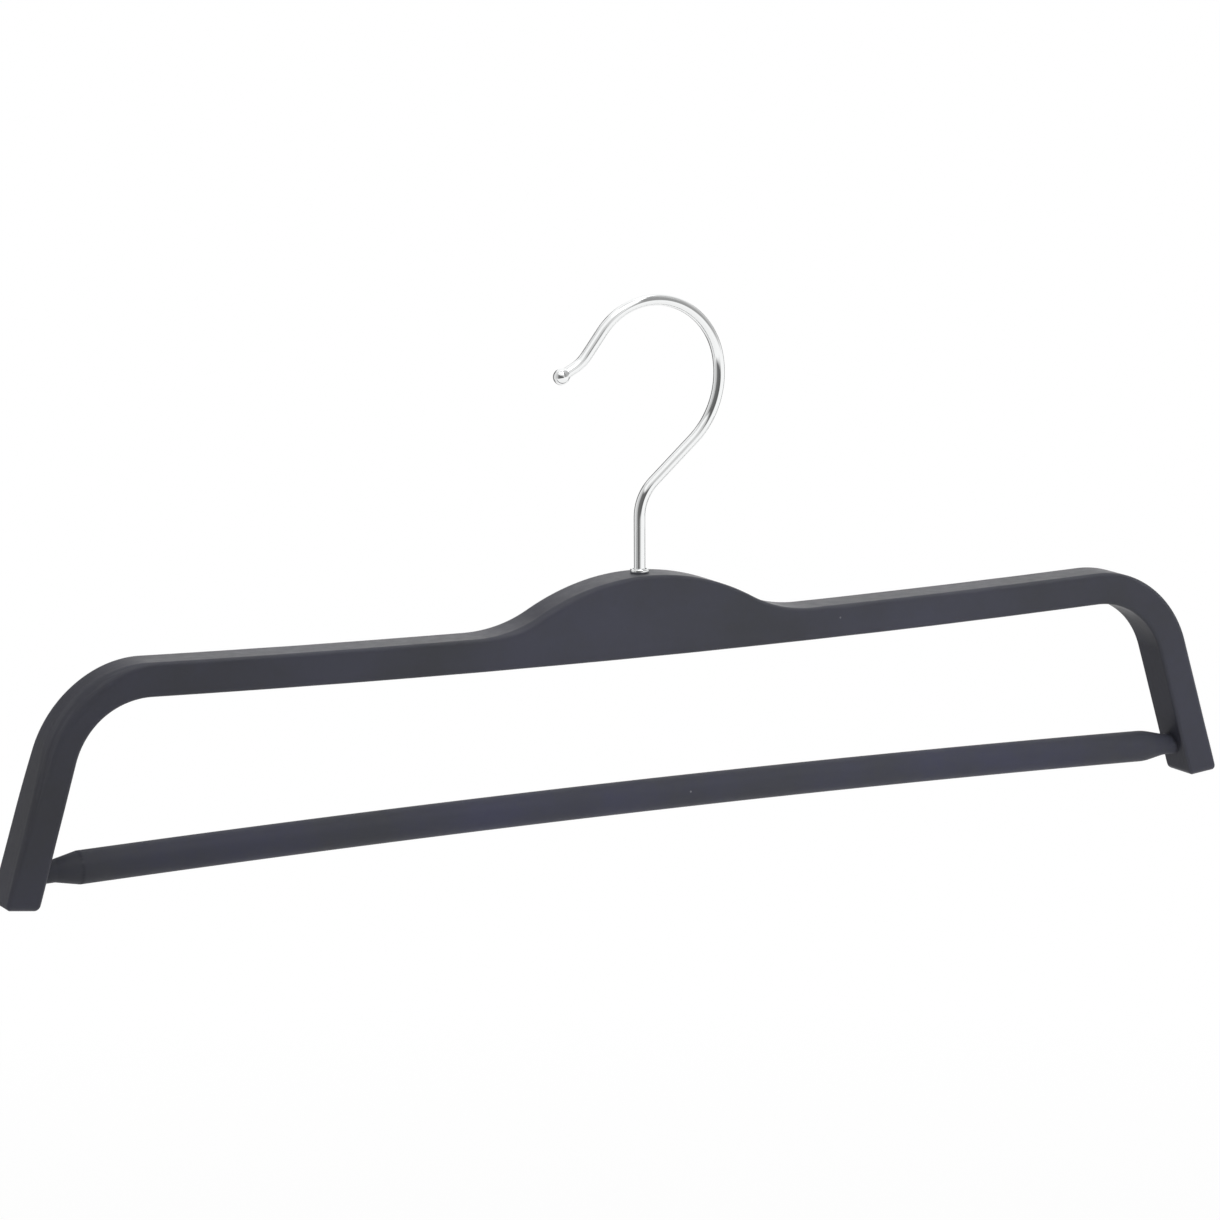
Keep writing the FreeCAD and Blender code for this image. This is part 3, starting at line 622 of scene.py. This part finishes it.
    # sockets for the bar's tenons, one in each leg
    tilt = barTilt(b, barSizes)
    window = round(b["socketRadius"] / b["legStep"] + b["socketMargin"])
    for side in (-1, 1):
        centre = np.array([side * plan["seat"][0], 0, b["underside"] + plan["seat"][1]])
        inward = np.array([side * math.cos(tilt), 0, -math.sin(tilt)])
        axes = (np.array([0, 1.0, 0]), np.array([math.sin(tilt), 0, side * math.cos(tilt)]))
        normal = np.array([-side * plan["legOut"][0], 0, -plan["legOut"][1]])

        def ontoLeg(p):
            return p + ((centre - p) @ normal / (inward @ normal))[:, None] * inward

        nearest = np.argmin(np.linalg.norm(points[:, sum(innerFlat) // 2] - centre, axis=1))
        rim, angle, mouth = openFace(
            (nearest - window, nearest + window), innerFlat, centre, axes, b["socketRadius"], ontoLeg)
        end = centre + b["socketDepth"] * inward
        ends = [addRing(ringOf(end, axes, angle, r), rim) for r in (b["socketRadius"], 0.0)]
        addQuads([mouth, *ends], wood)

    grid = bridge(numbers[:-1].T, numbers[1:].T)
    quads.append(grid.transpose(1, 0, 2)[keep])
    marks.append(np.full(keep.sum(), coat))
    # flat cut of each foot: the last ring drawn in to its middle
    for ring in (numbers[0], numbers[-1]):
        sole = facePoints[ring].mean(axis=0)
        drawn = [addRing(sole + share * (facePoints[ring] - sole), ring) for share in b["footShares"]]
        addQuads([ring] + drawn, coat)
    makePiece(
        "bow_frame", np.concatenate(allPoints), np.concatenate(quads), np.concatenate(allLay),
        "hanger_body", "frame_lacquer", "frame", (bowLacquer, rawBeech),
        np.concatenate(allRubAndHighlight), np.concatenate(marks))


def barTilt(b, sizes):
    # how far the bar's straight ends dip, from where its axis meets the legs
    seatX = bowPlan(b)["seat"][0]
    straight, radius = sizes["taper"] + sizes["neck"], sizes["bowRadius"]
    return math.asin(seatX / math.hypot(radius, straight)) - math.atan(straight / radius)


def carryCircle(s, line, across, radius, around, ends):
    # Carries a circle along a line in the hanger's plane, as points, quads and places for patterns. s is the
    # way along the line, line its x and z, and across the direction in that plane at right angles to it. The
    # ends that are named are closed by a ring drawn in to a point.
    turn = fullTurn(around)
    outA, outB = radius * np.cos(turn), radius * np.sin(turn)
    x, z, acrossX, acrossZ, way = (v[:, None] for v in (*line, *across, s))
    points = np.stack([x + outA * acrossX, outB, z + outA * acrossZ], axis=-1)
    lay = np.stack([np.broadcast_to(way, outA.shape), outA, outB], axis=-1)
    middles = [np.repeat([[x[k, 0], 0, z[k, 0]]], around, axis=0) for k in ends]
    allPoints = np.concatenate([points.reshape(-1, 3), *middles])
    numbers = np.arange(len(allPoints)).reshape(-1, around)
    tube, caps = numbers[:len(s)], numbers[len(s):]
    quads = [ringQuads(tube)] + [bridge(tube[k], cap) for k, cap in zip(ends, caps)]
    return allPoints, np.concatenate(quads), np.concatenate([lay.reshape(-1, 3), *(lay[k] for k in ends)])


def makeBar(b, sizes):
    # A circle carried along the bar's line: a long bow in the middle and straight ends. Its radius is the
    # smaller of bar and cone, blended, and then the larger of that and the neck.
    bowHalf = sizes["bowRadius"] * barTilt(b, sizes)
    end = bowHalf + sizes["taper"] + sizes["neck"] + sizes["tenon"]
    breakAt = end - sizes["tenonBreak"]
    dense = np.arange(bowHalf - sizes["endReach"], breakAt, sizes["endStep"])
    half = np.concatenate([np.arange(0, dense[0], sizes["middleStep"]), dense, [breakAt, end]])
    s = np.concatenate([-half[:0:-1], half])
    bent = np.clip(s, -bowHalf, bowHalf) / sizes["bowRadius"]
    beyond = s - np.clip(s, -bowHalf, bowHalf)
    x = sizes["bowRadius"] * np.sin(bent) + beyond * np.cos(bent)
    drop = sizes["bowRadius"] * (1 - np.cos(bent)) + beyond * np.sin(bent)
    full, neck = sizes["diameter"] / 2, sizes["neckDiameter"] / 2
    cone = full - (np.abs(s) - bowHalf) * (full - neck) / sizes["taper"]
    blend = np.where(s < 0, sizes["leftBlend"], sizes["rightBlend"])
    radius = -softMin(-softMin(cone, full, blend), -neck, blend * sizes["neckBlend"])
    radius = np.where(np.abs(s) > breakAt, neck - sizes["tenonBreak"], radius)
    line, across = (x, sizes["top"] - full - drop), (np.sin(bent), np.cos(bent))
    tube = carryCircle(s, line, across, radius[:, None], sizes["around"], (0, -1))
    shoulder = np.exp(-((np.abs(s) - bowHalf) / sizes["shoulderWear"]) ** 2) * (s < 0)
    rubAndHighlight = np.concatenate([np.repeat(shoulder, sizes["around"]), np.zeros(2 * sizes["around"])])
    makePiece("round_bar", *tube, "hanger_body", "bar_lacquer", "trouser_bar", (barLacquerPaintedPaler,), rubAndHighlight)


makeBow(bow, bar)
makeBar(bow, bar)


# Hook: a circle carried along the bent wire, with a rolled thread at its foot and a ball at its tip

thread = {"pitch": 0.7, "depth": 0.22, "middle": 1.75}

hook = {
    "wire": 3.5, "around": 48, "sample": 0.05, "step": 0.75, "bendEase": 2.4,
    "shankRise": 17.2, "threadLength": 9.5, "threadStep": 0.07, "threadFade": 1.6, "endBreak": 0.5,
    "shankBend": (14.0, 48.4), "slant": 18.3, "throat": (27.1, 60.2), "crown": (22.25, 131.1),
    "tipStraight": 8.8, "flick": (12.2, 24.4), "tipLength": 5.1,  # each bend is a radius and an angle
    "ball": 5.0, "ballNeck": 0.5, "ballSteps": 26, "ballLead": 0.5, "ballGap": 0.1,
}
hook["foot"] = heights("hook")[0]


def threadRadius(z, turn, extra=0.0):
    # M4 thread as a height over a cylinder: a triangle wave that climbs one pitch in each turn
    phase = (z - hook["foot"]) / thread["pitch"] - turn / (2 * np.pi)
    return thread["middle"] + extra + thread["depth"] * zigzag(phase)


def makeHook(h, crestTop):
    # The wire's heading is the running sum of its curvature, eased a little where straights meet bends,
    # and its line is the running sum of the heading.
    runs = [(crestTop - h["foot"] + h["shankRise"], 0.0)]
    for bend, straight, side in ((h["shankBend"], h["slant"], 1), (h["throat"], 0.0, -1),
                                 (h["crown"], h["tipStraight"], -1), (h["flick"], h["tipLength"], 1)):
        runs += [(bend[0] * math.radians(bend[1]), side / bend[0]), (straight, 0.0)]
    ends = np.cumsum([length for length, _ in runs])
    ballAt, ballRadius = ends[-1], h["ball"] / 2
    fine = np.arange(0, ballAt + ballRadius + 2 * h["sample"], h["sample"])
    which = np.minimum(np.searchsorted(ends, fine + h["sample"] / 2), len(runs) - 1)
    curvature = np.array([bend for _, bend in runs])[which]
    window = np.hanning(round(h["bendEase"] / h["sample"]) | 1)
    curvature = np.convolve(np.pad(curvature, len(window) // 2, mode="edge"), window / window.sum(), "valid")
    heading = runningSum(curvature * h["sample"])[:-1]
    middle = heading + curvature * h["sample"] / 2
    lineX = runningSum(np.sin(middle) * h["sample"])[:-1]
    lineZ = runningSum(np.cos(middle) * h["sample"])[:-1] + h["foot"]
    # stations: close together on the thread and the ball
    lead = math.acos(h["wire"] / h["ball"]) + h["ballLead"]
    s = np.concatenate([
        np.arange(0, h["threadLength"], h["threadStep"]),
        np.arange(h["threadLength"], ballAt - ballRadius * math.sin(lead) - h["ballGap"], h["step"]),
        ballAt + ballRadius * np.sin(np.linspace(-lead, math.pi / 2, h["ballSteps"])),
    ])
    x, z, aim = (np.interp(s, fine, line) for line in (lineX, lineZ, heading))
    turn = fullTurn(h["around"])
    # radius: wire, ball at the tip, thread at the foot
    ball = np.sqrt(np.clip(ballRadius ** 2 - (s - ballAt) ** 2, 0, None))
    plain = np.where(s > ballAt, ball, -softMin(-h["wire"] / 2, -ball, h["ballNeck"]))
    fade = 1 - softStep(s, h["threadLength"] - h["threadFade"], h["threadLength"])
    ridge = threadRadius(h["foot"] + s[:, None], turn[None, :]) - thread["middle"]
    radius = plain[:, None] + fade[:, None] * ridge
    radius = np.minimum(radius, (h["wire"] / 2 - h["endBreak"] + s)[:, None])
    tube = carryCircle(s, (x, z), (np.cos(aim), -np.sin(aim)), radius, h["around"], (0,))
    makePiece("wire_hook", *tube, "hook_body", "chrome", "hook", (chrome,))


makeHook(hook, bow["crestTop"])


# Small pieces on the hook's axis: each is a closed outline carried round the axis

def roundedOutline(corners, steps=6):
    # Radii and heights of a closed outline from (radius, height, rounding) corners: a circular arc touches
    # both sides at each corner.
    corner = np.array([c[:2] for c in corners], float)
    rounding = np.array([c[2] for c in corners])[:, None]
    back, ahead = (unit(np.roll(corner, step, axis=0) - corner) for step in (1, -1))
    half = np.arccos(np.clip((back * ahead).sum(axis=1), -1, 1))[:, None] / 2
    hub = corner + unit(back + ahead) * rounding / np.sin(half)
    first = corner + back * rounding / np.tan(half) - hub
    last = corner + ahead * rounding / np.tan(half) - hub
    opening = np.pi - 2 * half
    share = np.linspace(0, 1, steps + 1)
    # the arc's points are spherical blends of its first and last spoke
    spoke = (np.sin((1 - share) * opening)[:, :, None] * first[:, None]
             + np.sin(share * opening)[:, :, None] * last[:, None]) / np.sin(opening)[:, :, None]
    outline = (hub[:, None] + spoke).reshape(-1, 2)
    return outline[:, :1], outline[:, 1:]


def spin(blocks, around):
    # Carries (radius, height) blocks round the z axis, as points, quads and places for patterns. Both are
    # a number, a value for each step of the turn, or rows of these; the last row joins the first.
    spread = [np.broadcast_arrays(*block, fullTurn(around)[None]) for block in blocks]
    radius, height, turn = (np.concatenate(part) for part in zip(*spread))
    points = np.stack([radius * np.cos(turn), radius * np.sin(turn), height], axis=-1)
    lay = np.stack([radius * turn, height, radius], axis=-1)
    numbers = np.arange(radius.size).reshape(radius.shape)
    quads = ringQuads(np.concatenate([numbers, numbers[:1]]))
    return points.reshape(-1, 3), quads, lay.reshape(-1, 3)


bush = {
    "bore": 2.1, "sleeve": 2.6, "flange": 2.95, "flangeThickness": 1.3, "around": 72,
    "round": 0.42, "underRound": 0.3, "mouthRound": 0.2, "break": 0.12,
}


def makeBush(b, low, high):
    # sleeve in the crest with a domed flange on top, its bore eased where the wire comes out
    seat = high - b["flangeThickness"]
    outline = roundedOutline([
        (b["bore"], low, b["break"]), (b["sleeve"], low, b["break"]), (b["sleeve"], seat, sharpRound),
        (b["flange"], seat, b["underRound"]), (b["flange"], high, b["round"]),
        (b["bore"], high, b["mouthRound"]),
    ])
    makePiece("flanged_bush", *spin([outline], b["around"]), "hanger_body", "chrome", "hook_bush", (chrome,))


washer = {"bore": 2.1, "rim": 4.5, "boreRound": 0.14, "rimRound": 0.28, "burrRound": 0.07, "around": 72}


def makeWasher(w, low, high):
    # stamped disc: the punch rounds the edges on one side and leaves the other side sharper
    outline = roundedOutline([
        (w["bore"], low, w["boreRound"]), (w["rim"], low, w["rimRound"]),
        (w["rim"], high, w["burrRound"]), (w["bore"], high, w["burrRound"]),
    ])
    makePiece("flat_washer", *spin([outline], w["around"]), "hanger_body", "zinc_steel", "washer", (zinc,))


nut = {
    "flats": 7.0, "turn": 15.0, "collar": 3.2, "collarHeight": 1.8, "collarRound": 0.5, "collarSteps": 7,
    "lip": 2.12, "lipHeight": 0.33, "seat": 2.54, "seatTop": 1.57, "bevelShare": 0.95, "bevel": 30.0,
    "sink": 2.19, "threadClear": 0.05, "around": 96, "threadSteps": 60,
}
ring = {"outer": 2.52, "threadSteps": 22, "bite": -0.02, "round": 0.06}


def makeNut(n, low, high):
    # Lock nut: the outside is a hexagon, its radius the flat's distance over the cosine of the angle from
    # the flat's middle; the chamfer lowers the top by the radius past the bevel's start; the bore is
    # threaded, with a countersink at the top.
    turn = fullTurn(n["around"])
    sixth = math.pi / 3
    fromFlat = (turn - math.radians(n["turn"])) % sixth - sixth / 2
    hexagon = n["flats"] / 2 / np.cos(fromFlat)
    bevelStart = n["flats"] / 2 * n["bevelShare"]
    shoulder = high - (hexagon - bevelStart) * math.tan(math.radians(n["bevel"]))
    collarTop, seatTop, lipTop = (low + n[key] for key in ("collarHeight", "seatTop", "lipHeight"))
    curve = np.linspace(0, math.pi / 2, n["collarSteps"])[:, None]
    collarR = n["collar"] - n["collarRound"] * (1 - np.sin(curve))
    collarZ = low + n["collarRound"] * (1 - np.cos(curve))
    boreZ = np.linspace(high, seatTop, n["threadSteps"])[:, None]
    boreR = np.maximum(threadRadius(boreZ, turn, n["threadClear"]), n["sink"] - (high - boreZ))
    outline = [
        (n["lip"], low), (collarR, collarZ), (n["collar"], collarTop), (hexagon, collarTop),
        (hexagon, shoulder), (bevelStart, high), (boreR, boreZ), (n["seat"], seatTop),
        (n["seat"], lipTop), (n["lip"], lipTop),
    ]
    makePiece("lock_nut_m4", *spin(outline, n["around"]), "hook_body", "zinc_steel", "lock_nut", (zinc,))


def makeNylonRing(r, around, low, high):
    # plain outside; the bore carries the imprint that the thread has pressed into it
    boreZ = np.linspace(high, low, r["threadSteps"])[:, None]
    boreR = threadRadius(boreZ, fullTurn(around), r["bite"])
    brokenR = r["outer"] - r["round"]
    outline = [
        (brokenR, low), (r["outer"], low + r["round"]), (r["outer"], high - r["round"]), (brokenR, high),
        (boreR, boreZ),
    ]
    makePiece("nylon_lock_ring", *spin(outline, around), "hook_body", "nylon", "lock_ring", (nylon,))


makeBush(bush, *heights("hook_bush"))
makeWasher(washer, *heights("washer"))
makeNut(nut, *heights("lock_nut"))
makeNylonRing(ring, nut["around"], *heights("lock_ring"))


# Studio: pale floor, white surroundings, a lamp overhead, a feathered fill and grey cards for the gloss

studio = {
    "floorDrop": 1.75, "floorHalf": 90.0, "floorLines": 13, "floorColour": "#D2D2D0",
    "floorScuff": {"Scale": perMetre(400.0)}, "floorRough": {"To Min": 0.7, "To Max": 0.9},
    # share of white that the floor shows below the hanger and far off, with the distances in metres
    "floorWhite": {"From Min": 2.5, "From Max": 6.0, "To Min": 0.88, "To Max": 1.0},
    "surroundColour": "#FFFFFF", "surround": {"To Min": 0.42, "To Max": 1.0},  # as a light, and as seen
    "overhead": 1.4, "overheadSpread": 70.0, "overheadTurn": (16.0, 14.0, 0.0),
    "fill": 22.5, "fillSize": 0.08, "fillCone": 29.2, "fillFeather": 1.0,
    "fillAt": (0.434, -0.926, -0.053), "fillAim": (0.06, 0.0, -0.105),
    "cardReach": 2.2, "cardSpace": 0.05, "cardGrid": (61, 41),
    # Cards, farthest first: tones, azimuths, lowest and highest elevations at the left and at the right end,
    # then the width of the soft edge. Angles are in degrees, counted as the camera's are.
    "cards": {
        "ceiling": (("#E8E8E8", "#E8E8E8"), (-180.0, 180.0), (74.0, 74.0), (92.0, 92.0), 6.0),
        "low_shade": (("#E2E2E2", "#E2E2E2"), (-180.0, 180.0), (-92.0, -92.0), (-58.0, -58.0), 10.0),
        "back_left": (("#5E5E5E", "#7E7E7E"), (-204.0, -144.0), (-38.0, -37.0), (-14.0, 40.0), 10.0),
        "left_edge": (("#666666", "#666666"), (-195.0, -164.0), (-6.0, 12.0), (18.0, 38.0), 6.0),
        "left_wall": (("#EAEAEA", "#E2E2E2"), (-140.0, -92.0), (-70.0, -70.0), (62.0, 62.0), 10.0),
        "left_shade": (("#F0F0F0", "#B2B2B2"), (-140.0, -70.0), (-20.0, -18.0), (56.0, 36.0), 10.0),
        "right_edge": (("#7C7C7C", "#8C8C8C"), (106.0, 138.0), (-24.0, -24.0), (24.0, 16.0), 8.0),
        "right_far": (("#A5A5A5", "#E2E2E2"), (64.0, 118.0), (2.0, 10.0), (78.0, 66.0), 12.0),
        "right_wall": (("#969696", "#A5A5A5"), (19.0, 64.0), (-2.0, 2.0), (52.0, 74.0), 9.0),
        "camera_haze": (("#D2D2D2", "#D2D2D2"), (-35.0, 12.0), (10.0, 10.0), (36.0, 32.0), 12.0),
        "camera_side": (("#747474", "#5A5A5A"), (-70.0, 11.0), (-21.0, -8.0), (36.0, 9.0), 8.0),
    },
}


def seenPlainly(tree):
    # 1 for rays from the camera, a mirror or glass, and 0 for light that is on its way to a matt surface
    path = addNode(tree, "LightPath")
    seen = path.outputs["Is Camera Ray"]
    for other in ("Is Glossy Ray", "Is Transmission Ray"):
        seen = addNode(tree, "Math", {0: seen, 1: path.outputs[other]}, operation="MAXIMUM")
    return seen


def makeFloor(s):
    # pale floor that the camera and mirrors see as nearly white, with the object's shadow left in it
    material, tree = newMaterial("pale_studio_floor")
    place = addNode(tree, "TexCoord").outputs["Object"]
    scuff = addNode(tree, "TexNoise", {"Vector": place, **s["floorScuff"]})
    rough = addNode(tree, "MapRange", {"Value": scuff, **s["floorRough"]})
    paint = addNode(tree, "BsdfPrincipled", {"Base Color": hexColour(s["floorColour"]), "Roughness": rough})
    away = addNode(tree, "VectorMath", {0: place}, operation="LENGTH").outputs["Value"]
    sweep = addNode(tree, "MapRange", {"Value": away, **s["floorWhite"]})
    share = addNode(tree, "Math", {0: seenPlainly(tree), 1: sweep}, operation="MULTIPLY")
    shader = addNode(tree, "MixShader", {0: share, 1: paint, 2: addNode(tree, "Emission")})
    addNode(tree, "OutputMaterial", {"Surface": shader})
    lines = np.linspace(-s["floorHalf"], s["floorHalf"], s["floorLines"])
    x, y = np.meshgrid(lines, lines, indexing="ij")
    points = np.stack([x, y, np.full_like(x, -s["floorDrop"])], axis=-1)
    mesh = newMesh("studio_floor", points, gridQuads(x.shape), {}, (material,))
    floor = addObject("studio_floor", mesh)


def makeCards(s):
    # Grey cards on spheres about the hanger that only mirrors and gloss see. Tone and height run evenly from
    # the left end to the right one, and each edge fades out over the card's soft width.
    material, tree = newMaterial("grey_card")
    tone, cover = (
        addNode(tree, "Attribute", attribute_name=key).outputs["Fac"] for key in ("tone", "cover"))
    grey = addNode(tree, "Emission", {"Color": tone})
    shader = addNode(tree, "MixShader", {0: cover, 1: addNode(tree, "BsdfTransparent"), 2: grey})
    addNode(tree, "OutputMaterial", {"Surface": shader})
    across, rise = np.meshgrid(*(np.linspace(0, 1, count) for count in s["cardGrid"]), indexing="ij")
    for place, name in enumerate(s["cards"]):
        tones, (left, right), lows, highs, fade = s["cards"][name]
        a = left - fade / 2 + across * (right - left + fade)
        t = np.clip((a - left) / (right - left), 0, 1)
        greys = [hexColour(code)[0] for code in tones]
        low, high, shade = (pair[0] + t * (pair[1] - pair[0]) for pair in (lows, highs, greys))
        e = low - fade / 2 + rise * (high - low + fade)
        inside = np.minimum.reduce([a - left, right - a, e - low, high - e])
        layers = {"tone": shade.ravel(), "cover": softStep(inside, -fade / 2, fade / 2).ravel()}
        a, e = np.radians(a), np.radians(np.clip(e, -90, 90))
        reach = s["cardReach"] - place * s["cardSpace"]
        points = reach * np.stack([np.sin(a) * np.cos(e), -np.cos(a) * np.cos(e), np.sin(e)], axis=-1)
        mesh = newMesh("card_" + name, points, gridQuads(a.shape), layers, (material,))
        card = addObject("card_" + name, mesh)
        for ray in ("camera", "diffuse", "transmission", "volume_scatter", "shadow"):
            setattr(card, "visible_" + ray, False)


def lightStudio(s):
    # the world is plain white to the camera and to mirrors, and softer as a light
    world = bpy.data.worlds.new("white_surroundings")
    tree = emptyTree(world)
    strength = addNode(tree, "MapRange", {"Value": seenPlainly(tree), **s["surround"]})
    shader = addNode(tree, "Background", {"Color": hexColour(s["surroundColour"]), "Strength": strength})
    addNode(tree, "OutputWorld", {"Surface": shader})
    bpy.context.scene.world = world
    lamp = bpy.data.lights.new("overhead_softbox", "SUN")
    lamp.energy = s["overhead"]
    lamp.angle = math.radians(s["overheadSpread"])
    softbox = addObject("overhead_softbox", lamp)
    softbox.rotation_euler = [math.radians(angle) for angle in s["overheadTurn"]]
    # fill at the hanger's own height, from the right, its edge feathered out towards the left leg
    side = bpy.data.lights.new("right_fill", "SPOT")
    side.energy, side.shadow_soft_size = s["fill"], s["fillSize"]
    side.spot_size, side.spot_blend = math.radians(s["fillCone"]), s["fillFeather"]
    fill = addObject("right_fill", side)
    fill.location = s["fillAt"]
    aim = Vector(s["fillAim"]) - Vector(s["fillAt"])
    fill.rotation_euler = aim.to_track_quat("-Z", "Y").to_euler()
    fill.visible_glossy = False


camera = {
    "azimuth": -26.767, "elevation": 10.042, "roll": -0.302, "distance": 1.41058,
    "target": (-0.010227, 0.0, -0.09165), "sensor": 36.0, "lens": 136.5, "clip": (0.01, 100.0),
}


def placeCamera(c):
    # Looks at the target from an azimuth and elevation; roll turns the picture about the line of sight.
    a, e, roll = (math.radians(c[k]) for k in ("azimuth", "elevation", "roll"))
    back = np.array([math.sin(a) * math.cos(e), -math.cos(a) * math.cos(e), math.sin(e)])
    level = np.array([math.cos(a), math.sin(a), 0])
    right = level * math.cos(roll) + np.cross(back, level) * math.sin(roll)
    up = np.cross(back, right)
    spot = np.array(c["target"]) + back * c["distance"]
    data = bpy.data.cameras.new("photo_camera")
    data.sensor_width, data.lens = c["sensor"], c["lens"]
    data.clip_start, data.clip_end = c["clip"]
    eye = addObject("photo_camera", data)
    eye.matrix_world = Matrix([[right[k], up[k], back[k], spot[k]] for k in range(3)] + [[0, 0, 0, 1]])
    bpy.context.scene.camera = eye


makeFloor(studio)
makeCards(studio)
lightStudio(studio)
placeCamera(camera)
bpy.context.scene.view_settings.view_transform = "Standard"
print("studio set")
